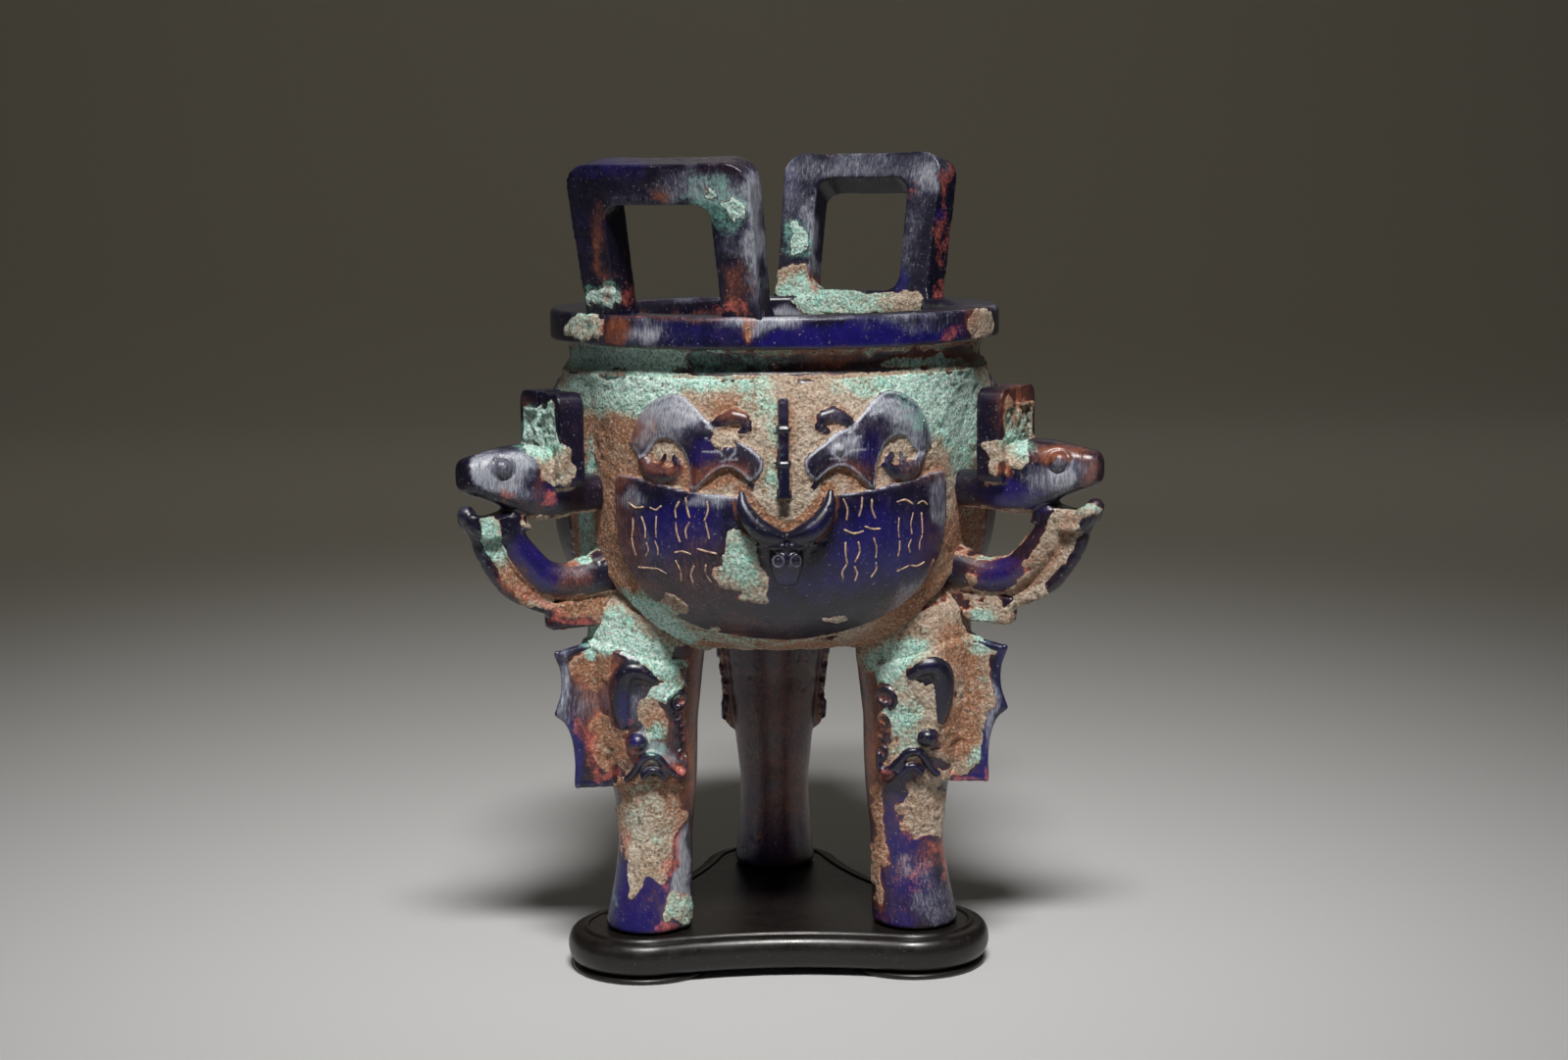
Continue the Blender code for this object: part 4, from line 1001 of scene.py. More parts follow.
def lobe_relief(along, over, front):
    """Height of the cast relief on a lobe, and where its edges and fine lines are worn pale; below zero,
    earth and painted contact shade around the bull's horns.
    """
    x = np.abs(along)
    shield = inside_of(curve(SHIELD_EDGE, 4) + [(-3, -45), (-3, -14.2)], x, over)
    height = 1.3 * step(-0.15, 0.75, shield) + 0.25 * step(1.0, 9.0, shield)
    body = inside_of(curve(DRAGON_BODY + DRAGON_BODY[:1], 4)[:-1], x, over) + 0.8
    dragon = 1.25 * step(-0.1, 0.7, body) + 0.75 * step(0.4, 4.5, body)
    tail = rounded_ridge(DRAGON_TAIL, x, over, 0.9)
    tail = np.maximum(tail, rounded_ridge(DRAGON_TAIL_SPIKE, x, over, 0.9))
    horn = rounded_ridge(DRAGON_HORN, x, over, 0.8)
    jaw = 0.9 * step(0.0, 0.3, dragon) + rounded_ridge(DRAGON_JAW, x, over, 0.9)
    jaw = np.where(rounded_ridge(DRAGON_JAW, x, over) > 0, jaw, 0.0)
    height = np.maximum.reduce([height, dragon, tail, horn, jaw])
    eye = np.hypot(x - DRAGON_EYE[0], over - DRAGON_EYE[1])
    height += 0.75 * step(1.25, 0.5, eye) - 0.45 * np.exp(-(((eye - 1.75) / 0.45) ** 2))
    pale = 0.7 * step(0.1, 0.4, body) * step(1.3, 0.7, body)
    pale += step(-0.1, 0.1, shield) * step(0.7, 0.3, shield)
    for line in DRAGON_WHISKERS:
        cut_in = step(0.0, 0.25, rounded_ridge(line, x, over))
        height -= 0.2 * cut_in
        pale = np.maximum(pale, cut_in)
    pale = np.maximum(pale, np.exp(-(((eye - 1.9) / 0.3) ** 2)))
    if front:
        aside = np.abs(along - BULL_SHIFT)
        # Around and under the bull's horns the shield gets earth instead of frost: partly earth packed
        # against the horns, partly painted contact shade.
        horn = [(a, b, r + 1.5) for a, b, _, r in BULL_HORN]
        pale -= 1.5 * step(0.0, 1.6, rounded_ridge(horn, aside, over))
        cheek = inside_of(curve(BULL_CHEEK, 3) + [(-2, -27.8), (-2, -11)], aside, over)
        height = np.maximum(height, 1.9 * step(-0.2, 0.6, cheek))
    top = RIDGE_FOOT if front else RIDGE_HEIGHT
    height = np.maximum(height, top * step(-0.7, 0.5, inside_of(both_sides(RIDGE_EDGE), along, over)))
    return height, pale


MID_WALL = 4.0  # depth in the wall of the skin that closes the belly
BELLY_GRAIN = 0.5
CARVED_ABOVE = 87.0  # the belly's relief lies above this height
CARVED_DEGREES = 50  # and, in front, this far to both sides of the lobe's middle
CARVED_SHARE = 0.225  # of the steps around the belly, on each of those sides
FILLET_REACH = 7.0
FILLET_HEIGHT = 1.6


def belly():
    """The lobed belly, finest across the front lobe, closed by a skin in the wall's middle."""
    shoulder = [WIDEST + SHOULDER_DEPTH * k / 100 for k in range(101)]
    heights = heights_below(UNDERSIDE, 400) + shoulder
    outer = [(0.0, UNDERSIDE)] + bowl_line(heights, BELLY_RADIUS, UNDERSIDE, NECK_RADIUS + SHOULDER_LEDGE)
    outer += [(NECK_RADIUS - 0.5, LEDGE + 0.3), (NECK_RADIUS - MID_WALL, LEDGE + 0.3)]
    bottom = UNDERSIDE + BOWL_FLOOR / 2
    heights = heights_below(bottom, 400) + shoulder
    middle = bowl_line(heights, BELLY_RADIUS - MID_WALL, bottom, NECK_RADIUS - MID_WALL)

    def spacing(_, z):
        return BELLY_GRAIN if z > CARVED_ABOVE else 1.2 + (CARVED_ABOVE - z) * 0.12

    coarse = resampled([*middle[::-1], (0.0, bottom)], lambda *_: 6.0)
    mesh = mesh_of(turned(resampled(outer, spacing) + coarse, BELLY_STEPS))
    spots = spots_of(mesh)
    radius = np.hypot(spots[:, 0], spots[:, 1])
    share = (np.arctan2(spots[:, 1], spots[:, 0]) - FRONT) % math.tau / math.tau
    shares = (0, CARVED_SHARE, 1 - CARVED_SHARE, 1)
    degrees = np.interp(share, shares, (0, CARVED_DEGREES, 360 - CARVED_DEGREES, 360))
    azimuth = FRONT + np.radians(degrees)
    radius = radius - groove(azimuth, spots[:, 2], radius)
    spots = np.column_stack((radius * np.cos(azimuth), radius * np.sin(azimuth), spots[:, 2]))
    set_spots(mesh, spots)
    normals = normals_of(mesh)
    outside = np.abs(radius - belly_radius(azimuth, spots[:, 2])) < 0.3
    outside |= (radius < 30) & (spots[:, 2] < UNDERSIDE + 2)
    height = np.zeros(len(spots))
    pale = np.zeros(len(spots))
    for lobe in LOBE_AZIMUTHS:
        turned_by = (azimuth - math.radians(lobe) + math.pi) % math.tau - math.pi
        mine = (np.abs(turned_by) < math.radians(60)) & outside
        along, over = turned_by[mine] * BELLY_RADIUS, spots[mine, 2] - WIDEST
        if lobe == LOBE_AZIMUTHS[0]:
            drift = 0.25 * lumps(spots[mine], 9.0, 2, 7)
            along, over = along + drift, over + 0.25 * lumps(spots[mine], 9.0, 2, 8)
        height[mine], pale[mine] = lobe_relief(along, over, lobe == LOBE_AZIMUTHS[0])
    fillet = np.zeros(len(spots))
    middle_at = LEG_CIRCLE - THIGH_BACKSET
    for over_leg in LEG_AZIMUTHS:
        local = spun_to(spots, -over_leg)
        thigh = THIGH_RADIUS * np.interp(local[:, 2], (78, 84, 100, 110), (0.97, 1.0, 0.9, 0.6))
        gap = np.hypot(local[:, 0] - middle_at, local[:, 1]) - thigh
        near = np.maximum(FILLET_REACH - np.abs(gap), 0) / FILLET_REACH
        fillet = np.maximum(fillet, np.where(local[:, 2] < 118, near**2 * FILLET_HEIGHT, 0))
    height = np.where(outside, height + fillet, 0.0)
    raised = step(0.2, 0.7, height - fillet)
    low = step(96, 88, spots[:, 2]) * outside
    spots = spots + normals * height[:, None]
    dragons = raised * step(WIDEST - 5, WIDEST - 3, spots[:, 2])
    shield = raised - dragons
    extra = {
        "frost": 1.3 * np.clip(pale, 0, 1) + 0.26 * dragons + 0.10 * shield,
        # Below zero, round the bull's horns, this earth is partly painted contact shade.
        "earth": 0.7 * np.clip(-pale, 0, 1) - 0.05 * dragons - 0.18 * shield,
        "cobalt": 0.05 * dragons,
    }
    return mesh, crusted("belly", mesh, spots, np.maximum(raised, 0.35 * low), extra=extra)


def rim():
    """Neck, rim and the bowl's inside, closed by a skin in the wall's middle."""
    neck_line = (
        (-3.0, LEDGE - 1.6), (0.7, LEDGE - 0.9), (0.3, LEDGE + 0.7), (-0.5, LEDGE + 2),
        (-0.8, LEDGE + NECK_DEPTH / 2), (-0.2, RIM_BOTTOM - 1.0), (0.4, RIM_BOTTOM - 0.1),
    )
    profile = [(NECK_RADIUS + out, z) for out, z in neck_line]
    profile.append((RIM_RADIUS - 1.4, RIM_BOTTOM))
    profile += arc((RIM_RADIUS - 1.1, RIM_BOTTOM + 1.1), 1.1, -80, 0, 5)
    profile += [(RIM_RADIUS + 0.05, RIM_BOTTOM + RIM_DEPTH / 2)]
    profile += arc((RIM_RADIUS - 1.3, RIM_TOP - 1.3), 1.3, 0, 90, 6)
    profile += arc((MOUTH_RADIUS + 1.6, RIM_TOP - 1.6), 1.6, 90, 180, 6)
    inner_bottom = UNDERSIDE + BOWL_FLOOR
    heights = [LEDGE - SHOULDER_DEPTH * k / 60 for k in range(61)] + heights_below(inner_bottom, 200)[::-1]
    profile += bowl_line(heights, BELLY_RADIUS - WALL, inner_bottom, MOUTH_RADIUS)
    profile.append((0.0, inner_bottom))
    fine = resampled(profile, lambda _, z: 0.75 if z > LEDGE - 8 else 2.2)
    bottom = inner_bottom - 2.0
    back = [(0.0, bottom)]
    back += bowl_line(heights_below(bottom, 12), BELLY_RADIUS - 5.2, bottom, NECK_RADIUS - 5)
    back.append((NECK_RADIUS - 5.5, LEDGE - 6))
    mesh = mesh_of(turned(fine + back + [fine[0]], RIM_STEPS))
    spots = spots_of(mesh)
    azimuth = np.arctan2(spots[:, 1], spots[:, 0])
    radius = np.hypot(spots[:, 0], spots[:, 1])
    radius = radius - groove(azimuth, spots[:, 2], radius) * step(LEDGE, LEDGE - 3, spots[:, 2])
    spots = np.column_stack((radius * np.cos(azimuth), radius * np.sin(azimuth), spots[:, 2]))
    under = step(RIM_BOTTOM + 1.0, RIM_BOTTOM - 1.0, spots[:, 2])
    neck = under * step(NECK_RADIUS - 2.5, NECK_RADIUS - 1.5, np.hypot(spots[:, 0], spots[:, 1]))
    # The neck is kept dark and dull: less frost and cobalt, more earth, and hardly any crust below. This is
    # partly its own dark green and brown patina and partly painted shade under the overhanging rim.
    tone = {"frost": -0.4 * neck, "turquoise": 0.15 * neck, "earth": 0.25 * neck, "cobalt": -0.3 * neck}
    seam = under * step(LEDGE + 1.8, LEDGE + 0.6, spots[:, 2])
    return mesh, crusted("rim", mesh, spots, 0.0, 0.05 * under + 0.9 * seam, 1.0, tone)


def ear(azimuth, height, sill, region):
    """A square ear, leaning out, bowed in plan and open in the middle."""
    root = RIM_DEPTH * 0.6
    half_base, half_top = EAR_BASE_WIDTH / 2, EAR_TOP_WIDTH / 2
    spread = (half_top - half_base) / height
    outline = [(half_base + 1.4 - spread * root, -root), (half_base + 1.4, -0.5), (half_base + 0.3, 2.4)]
    outline += arc((half_top - EAR_CORNER, height - EAR_CORNER), EAR_CORNER, 0, 90, 8)
    half_gap, gap_top, small = EAR_OPENING_WIDTH / 2, height - EAR_TOP_BAR, EAR_OPENING_CORNER
    if sill > 0:
        gap = arc((half_gap - small, sill + small), small, -90, 0, 6)
    else:
        gap = [(half_gap - 1.2, sill - 3), (half_gap, sill + 2)]
    gap += arc((half_gap - small, gap_top - small), small, 0, 90, 6)
    opening = slab(both_sides(gap), -EAR_THICKNESS, 2 * EAR_THICKNESS)
    for vert in opening.verts:
        share = (vert.co.y - sill) / (gap_top - sill)
        vert.co.y -= share * EAR_BAR_SLOPE * vert.co.z / EAR_THICKNESS
    body = cut(slab(both_sides(outline), 0.0, EAR_THICKNESS, ((0, 4.0), (1, 4.0))), [opening])

    def stood(point):
        bend = point.x / EAR_BOW
        out = (EAR_BOW + point.z) * math.cos(bend) - EAR_BOW
        return Vector((
            MOUTH_RADIUS + out * math.cos(EAR_LEAN) + point.y * math.sin(EAR_LEAN),
            (EAR_BOW + point.z) * math.sin(bend),
            RIM_TOP + point.y * math.cos(EAR_LEAN) - out * math.sin(EAR_LEAN),
        ))

    mesh = fused([moved(body, stood)], EAR_GRAIN, 4)
    spots = spun_to(spots_of(mesh), azimuth)
    return mesh, crusted(region, mesh, spots)


def fin_edge():
    """The fin's outline and its scalloped runs, in shares of its reach and the mask's height."""
    runs = [curve(scallop, 5) for scallop in FIN_SCALLOPS]
    outline = [spot for run in runs for spot in run[:-1]]
    return outline + [FIN_SCALLOPS[-1][-1]], runs[1:-1]


FOOT_EDGE = ((0.0, -1.6), (0.25, -0.8), (0.7, -0.3), (1.4, -0.05))  # height, and out
# How the leg ends in the bowl's wall: height, drawn in towards the burner's axis, and radius
THIGH_TOP = ((1.11, 0.01, 0.99), (1.17, 0.04, 0.97), (1.24, 0.16, 0.86), (1.30, 0.30, 0.66))
FIN_TOP_ROD = ((-0.7, 0.975), (-0.2, 0.98), (0.3, 0.955), (0.72, 0.93))
FIN_BOTTOM_ROD = ((-0.5, 0.02), (0.0, 0.015), (0.36, 0.03))


def leg_shapes():
    """Column, mask and fin of a leg that points along +X."""
    sides = 56
    turns = [360 * k / sides for k in range(sides)]
    rings = []
    for z, out in FOOT_EDGE:
        rings.append([on_leg(t, z, out) for t in turns])
    for k in range(1, 34):
        z = 1.4 + (UNDERSIDE * LEG_TOP - 1.4) * k / 33
        rings.append([on_leg(t, z, 0.0) for t in turns])
    for level, inward, share in THIGH_TOP:
        centre = (LEG_CIRCLE - THIGH_BACKSET - inward * THIGH_RADIUS, 0.0)
        rings.append([Vector((*polar(THIGH_RADIUS * share, t, centre), UNDERSIDE * level)) for t in turns])
    for ring in rings:
        for point in ring:
            point.z = min(point.z, mid_wall(math.hypot(point.x, point.y)))
    shapes = [lofted(rings)]

    def plate(outline, low, high):
        flat = slab(outline, low, high, ((0, 6.0), (1, 0.08)))
        return moved(flat, lambda p: on_mask(p.x, p.y, p.z))

    edge = curve(MASK_EDGE, 3)
    inner = [(x * 0.965, 0.5 + (y - 0.5) * 0.955) for x, y in edge]
    shapes.append(plate(both_sides(edge), -2.5, MASK_RELIEF * 0.6))
    shapes.append(plate(both_sides(inner), -2.5, MASK_RELIEF))
    for side in (1, -1):
        horn = smooth_line([(side * x, y, r) for x, y, r in MASK_HORN], 4)
        shapes.append(rod([(on_mask(p.x, p.y, MASK_RELIEF - 0.7), p.z) for p in horn], 16))
        degrees, share = MASK_EYE
        shapes.append(ball(on_mask(side * degrees, share, MASK_RELIEF - 0.2), (3.3, 3.3, 2.9)))
        for line in (MASK_MOUTH, MASK_LIP):
            path = smooth_line([(side * x, y, r) for x, y, r in line], 4)
            shapes.append(rod([(on_mask(p.x, p.y, MASK_RELIEF + 0.7), p.z) for p in path], 12))
        for degrees, share, size in MASK_CURLS:
            coil = []
            for k in range(15):
                angle = math.radians(-60 + 24 * k)
                wide = size * (1.0 - 0.034 * k)
                back = math.degrees(wide * math.cos(angle) / CURL_CIRCLE)
                up = share + wide * math.sin(angle) / MASK_HEIGHT
                coil.append((on_mask(side * (degrees - back), up, MASK_RELIEF + 0.25), 0.20 * size + 0.24))
            shapes.append(rod(coil, 8))
    outer_face = LEG_CIRCLE + THIGH_RADIUS

    def stood(x, y, z):
        return Vector((outer_face + x * FIN_REACH, z, MASK_BOTTOM + y * MASK_HEIGHT))

    outline, border = fin_edge()
    half = FIN_THICKNESS * 0.36
    inner = slab([(0.965 * x - 0.03, y * 0.99) for x, y in outline], -half, half)
    shapes.append(moved(inner, lambda p: stood(p.x, p.y, p.z)))
    for run in border:
        shapes.append(rod([(stood(x - 0.06, y, 0), 1.15) for x, y in run], 8))
    shapes.append(rod([(stood(x, y, 0), 1.5) for x, y in FIN_TOP_ROD], 8))
    shapes.append(rod([(stood(x, y, 0), 1.3) for x, y in FIN_BOTTOM_ROD], 8))
    return shapes


def leg(azimuth, region, grain):
    """A leg with bare horns, eyes, mouth and curls on a crusted mask under a crusted thigh."""
    mesh = fused(leg_shapes(), grain, 1)
    spots = spots_of(mesh)
    share = spots[:, 2] / UNDERSIDE
    bent = np.minimum(share / BOW_END, 1.0)
    middle = LEG_CIRCLE - SHIN_BACKSET * np.sin(math.pi * bent) - THIGH_BACKSET * bent
    swell = np.clip((share - KNEE) / (LEG_TOP - KNEE), 0.0, 1.0)
    out = np.hypot(spots[:, 0] - middle, spots[:, 1]) - SHIN_RADIUS - (THIGH_RADIUS - SHIN_RADIUS) * swell
    on_plate = step(MASK_BOTTOM - 1.5, MASK_BOTTOM, spots[:, 2]) * step(0.7, 1.1, out)
    on_fin = step(2.9, 2.4, np.abs(spots[:, 1])) * step(MASK_RELIEF, MASK_RELIEF + 0.6, out)
    outline, _ = fin_edge()
    edge = [(x * FIN_REACH, y * MASK_HEIGHT) for x, y in outline]
    from_edge = inside_of(edge, spots[:, 0] - LEG_CIRCLE - THIGH_RADIUS, spots[:, 2] - MASK_BOTTOM)
    bevel = on_fin * step(2.2, 1.3, from_edge)
    thigh = step(MASK_BOTTOM + 0.9 * MASK_HEIGHT, MASK_BOTTOM + 1.06 * MASK_HEIGHT, spots[:, 2])
    proud = on_plate * (1 - on_fin) * step(MASK_RELIEF + 0.35, MASK_RELIEF + 1.0, out)
    coated = MASK_CRUST[region] * on_plate * (1 - proud) * (1 - bevel) + 0.6 * thigh * (1 - on_fin)
    curled = np.zeros(len(spots))
    for degrees, share, size in MASK_CURLS:
        for side in (1, -1):
            middle_of = np.array(on_mask(side * degrees, share, MASK_RELIEF))
            away = np.linalg.norm(spots - middle_of, axis=1)
            curled = np.maximum(curled, step(size + 1.2, size * 0.5, away))
    # The extra cobalt on the fin's bevelled edge is painted glow, light shining through the thin glass; its
    # frost is the edge's wear.
    extra = {
        "frost": 0.15 * bevel - 0.6 * proud * (1 - curled) + 0.25 * curled, "stain": 0.10 * curled,
        "earth": -0.4 * proud - 0.5 * bevel, "cobalt": 0.35 * bevel + 0.1 * proud,
    }
    bare = np.maximum.reduce([2.0 * proud, 1.3 * bevel, 0.6 * curled])
    return mesh, crusted(region, mesh, spun_to(spots, azimuth), bare, coated, extra=extra)


def handle_shapes():
    """A dragon handle that points along +X."""
    sides = 28
    rings = []
    stations = smooth_line([(a, l, h) for a, l, h, _ in HEAD_STATIONS], 4)
    widths = smooth_line([(w, 0, 0) for *_, w in HEAD_STATIONS], 4)
    for station, width in zip(stations, widths):
        ring = []
        for k in range(sides):
            angle = math.tau * k / sides
            wide = math.copysign(abs(math.cos(angle)) ** HEAD_SQUARENESS, math.cos(angle)) * width.x
            tall = math.copysign(abs(math.sin(angle)) ** HEAD_SQUARENESS, math.sin(angle))
            middle = (station.y + station.z) / 2
            ring.append(carved(station.x, middle + tall * (station.z - station.y) / 2, wide))
        rings.append(ring)
    shapes = [lofted(rings)]
    shapes.append(ball(carved(87.5, 29), (12.0 * CARVED, 13.0 * CARVED, 14.0 * CARVED), 32))
    rings = []
    line = smooth_line([(x, y, 0) for x, y in ARC_SPINE], 5)
    thick = smooth_line([(w, 0, 0) for w in ARC_HALF_WIDTHS], 5)
    for k, spot in enumerate(line):
        ahead = (line[min(k + 1, len(line) - 1)] - line[max(k - 1, 0)]).normalized()
        aside = Vector((-ahead.y, ahead.x, 0))
        ring = []
        for j in range(24):
            angle = math.tau * j / 24
            point = spot + aside * thick[k].x * math.cos(angle)
            ring.append(carved(point.x, point.y, 12.5 * math.sin(angle)))
        rings.append(ring)
    shapes.append(lofted(rings))

    def upright(outline, half):
        return moved(slab(outline, -half, half), lambda p: carved(p.x, p.y, p.z))

    jaw = curve(JAW + JAW[:1], 4)[:-1]
    shapes.append(upright(jaw, 9))
    inner_jaw = [(70 + (x - 70) * 0.9, -3 + (y + 3) * 0.86) for x, y in jaw]
    shapes.append(upright(inner_jaw, 11))
    crest = smooth_line([(x, y, 0) for x, y in CREST_OUTER], 8)
    outer = [(p.x, p.y) for p in crest]
    shapes.append(upright(outer + list(CREST_INNER), 4.2))
    for k in range(1, len(crest) - 9, 9):
        run = crest[k:k + 8]
        inward = [(carved(p.x - 1.8, p.y + 1.6), 2.05) for p in run]
        shapes.append(rod(inward, 10))
    shapes.append(upright(LUG, 6.2))
    shapes.append(rod([(carved(-8, -73.5), 2.2), (carved(34, -73.5), 2.2)], 10))
    shapes.append(rod([(carved(-8, -63), 2.3), (carved(35, -65), 2.3)], 10))
    shapes.append(ball(carved(*KNOB), (6.6 * CARVED,) * 3))
    # Two broad horns side by side: a sunk face inside a raised frame that is open at the top.
    spread, corner = 29, 9
    back = both_sides(arc((spread - corner, 82 - corner), corner, 0, 90, 6))
    back += [(-spread, 24), (-spread + 3, 20), (spread - 3, 20), (spread, 24)]
    frame_notch = slab([(-3.2, 66), (3.2, 66), (3.2, 92), (-3.2, 92)], 16, 46)
    recess = slab(both_sides(arc((17.5, 64), 5, 0, 90, 4)) + [(-22.5, 36), (22.5, 36)], 39.0, 46)
    plate = cut(slab(back, 22, 41), [recess, frame_notch])
    shapes.append(moved(plate, lambda p: carved(p.z, p.y, p.x)))
    across, up, half_width = EYE_SPOT
    for side in (1, -1):
        shapes.append(ball(carved(across, up, side * (half_width - 0.5)), (2.55, 2.0, 2.55)))
    return shapes


def handle(azimuth, region, grain):
    mesh = fused(handle_shapes(), grain, 2)
    spots = spots_of(mesh)
    across = (spots[:, 0] - GROOVE_RADIUS) / CARVED
    up = (spots[:, 2] - HANDLE_LEVEL) / CARVED
    eye = np.hypot(across - EYE_SPOT[0], up - EYE_SPOT[1]) * CARVED
    dip = -0.45 * np.exp(-(((eye - 3.0) / 0.40) ** 2))
    smile = rounded_ridge(((62, 8.5, 1.0), (68, 10.5, 1.0), (78, 14.5, 1.0), (88, 19.5, 0.8)), across, up)
    dip -= 0.42 * step(0.0, 0.7, smile) * (np.abs(spots[:, 1]) > 8 * CARVED)
    nose_line = np.abs(across - (90.5 - (up - 28) * 0.16))
    dip -= 0.28 * step(1.1, 0.2, nose_line) * (up > 12)
    if region == "handle_right":
        for side, level in PLATE_HOLES:
            bored = step(1.35, 0.75, np.hypot(spots[:, 1] - side * CARVED, (up - level) * CARVED))
            dip -= HOLE_DEPTH * bored * (across > 34)
    aside = np.abs(spots[:, 1]) / CARVED
    plate = step(46, 49, up) * step(46, 44, across)
    sunk = plate * step(23.5, 22.0, aside) * step(71, 69, up) * step(37.4, 38.4, across)
    dip += sunk * (0.25 + 0.5 * lumps(spots, 2.6, 3, 51))
    set_spots(mesh, spots)
    spots = spots + normals_of(mesh) * dip[:, None]
    spine = step(1, 8, rounded_ridge([(x, y, 11.0) for x, y in ARC_SPINE], across, up))
    blade = step(0.5, 4.5, rounded_ridge([(x, y, 6.5) for x, y in CREST_OUTER], across, up))
    smooth = np.maximum(spine, blade)
    below = step(4, 0, up)
    band = below * (1 - smooth)
    head = step(50, 54, across) * step(2, 6, up)
    bare = np.maximum.reduce([plate * (1 - sunk), 0.7 * below * smooth, head])
    coated = sunk + 0.35 * band
    ball_of_eye = step(3.6, 3.3, eye)
    frost = -0.5 * plate * (1 - sunk) - 0.25 * ball_of_eye
    extra = {"turquoise": 0.3 * sunk, "earth": 0.25 * band, "frost": frost}
    spots = spun_to(spots, azimuth)
    return mesh, crusted(region, mesh, spots, 0.8 * bare, coated, 1.0 + 1.2 * sunk, extra)


def bull():
    """The bull's head in the middle of the shield: horns, brow, muzzle, ears and ringed eyes."""

    def spot(along, over, out):
        return on_lobe(LOBE_AZIMUTHS[0], BULL_SHIFT + along, over, out)

    path = smooth_line([(x, y, out) for x, y, out, _ in BULL_HORN], 4)
    sizes = smooth_line([(radius, 0, 0) for *_, radius in BULL_HORN], 4)
    turns = [math.tau * k / 18 for k in range(19)]
    shapes = []
    for side in (1, -1):
        shapes.append(rod([(spot(side * p.x, p.y, p.z), s.x) for p, s in zip(path, sizes)], 16))
        x, y = BULL_EYE
        ring = [spot(side * x + 1.35 * math.cos(a), y + 1.6 * math.sin(a), 4.9) for a in turns]
        shapes.append(rod([(point, 0.45) for point in ring], 8))
        shapes.append(ball(spot(side * x, y, 4.6), (0.95, 0.95, 1.05), 16))
        x, y = BULL_EAR
        shapes.append(ball(spot(side * x, y, 2.7), (2.0, 1.2, 1.1), 16))
        shapes.append(rod([(spot(side * a, b, 4.2), r) for a, b, r in BULL_BROW], 10))
    muzzle = smooth_line(BULL_MUZZLE, 4)
    for aside in (-1.5, 0.0, 1.5):
        shapes.append(rod([(spot(aside, p.y, 1.5), p.z - 0.15 * abs(aside)) for p in muzzle], 20))
    mesh = fused(shapes, FINE_GRAIN, 3)
    spots = spots_of(mesh)
    frost = np.full(len(spots), -0.06)
    for side in (1, -1):
        eye = np.array(spot(side * BULL_EYE[0], BULL_EYE[1], 4.9))
        away = np.linalg.norm(spots - eye, axis=1)
        frost += 0.5 * step(1.0, 1.25, away) * step(2.0, 1.75, away)
    extra = {"frost": frost, "earth": -0.22, "cobalt": 0.15}
    return mesh, crusted("belly", mesh, spots, raised=1.2, grain=0.4, extra=extra)


def ridge():
    """The notched flange that stands between the dragons of the front lobe."""
    lobe = LOBE_AZIMUTHS[0]
    blade = slab(both_sides(RIDGE_EDGE), -2.0, RIDGE_HEIGHT, ((1, 3.0),))
    shapes = [moved(blade, lambda p: on_lobe(lobe, p.x, p.y, p.z))]
    for over in (4.4, 13.0):
        shapes.append(rod([(on_lobe(lobe, x, over, RIDGE_HEIGHT - 0.3), 0.75) for x in (-1.1, 0, 1.1)], 10))
    mesh = fused(shapes, FINE_GRAIN, 2)
    spots = spots_of(mesh)
    return mesh, crusted("belly", mesh, spots, raised=1.15, grain=0.4, extra={"earth": -0.15, "cobalt": 0.3})


def strokes():
    """The pale filling of the shield's strokes, thin rods sunk in its face."""
    bm = bmesh.new()
    for block, middle in enumerate(STROKE_BLOCKS):
        for row in range(STROKE_ROWS):
            lying = (row + block) % 3 == 0
            for column in (-0.8, 0.8) if lying else (-1.3, -0.3, 0.9):
                beat = 15 * block + 3 * row + column
                x = middle + column * STROKE_COLUMN + 0.5 * math.sin(2.4 * beat)
                y = STROKE_TOP - row * STROKE_ROW + 0.5 * math.cos(1.7 * beat)
                half = 2.2 + 0.5 * math.sin(5.3 * beat)
                lean = 0.5 * math.sin(3.1 * beat)
                bow = 0.8 * math.cos(4.4 * beat)
                if lying:
                    ends = ((x - half, y - lean), (x, y + bow), (x + half, y + lean))
                else:
                    ends = ((x - lean, y + half), (x + bow, y), (x + lean, y - half))
                line = smooth_line([(a, b, 0) for a, b in ends], 5)
                path = [(on_lobe(LOBE_AZIMUTHS[0], p.x, p.y, 1.34), STROKE_WIDTH / 2) for p in line]
                bm.from_mesh(mesh_of(rod(path, 6)))
    mesh = mesh_of(bm)
    return mesh, spots_of(mesh)


def stand_outline(inset, detail):
    to_side = 180 / len(LEG_AZIMUTHS)
    half_side = LEG_CIRCLE * math.sin(math.radians(to_side))
    rise = STAND_WAIST - LEG_CIRCLE * math.cos(math.radians(to_side))
    hollow = (STAND_LOBE_RADIUS**2 - rise**2 - half_side**2) / (2 * (rise - STAND_LOBE_RADIUS))
    middle = hollow + STAND_WAIST
    outline = []
    for corner in LEG_AZIMUTHS[2], LEG_AZIMUTHS[0], LEG_AZIMUTHS[1]:
        centre = Vector(polar(LEG_CIRCLE, corner))
        side = corner + to_side
        after = Vector(polar(middle, side))
        reach = math.degrees((after - centre).angle_signed(centre))
        outline += arc(centre, STAND_LOBE_RADIUS - inset, corner - reach, corner + reach, 9 * detail)
        half_sweep = reach - to_side
        start = side + 180 + half_sweep
        outline += arc(after, hollow + inset, start, start - 2 * half_sweep, 6 * detail)[1:-1]
    return outline


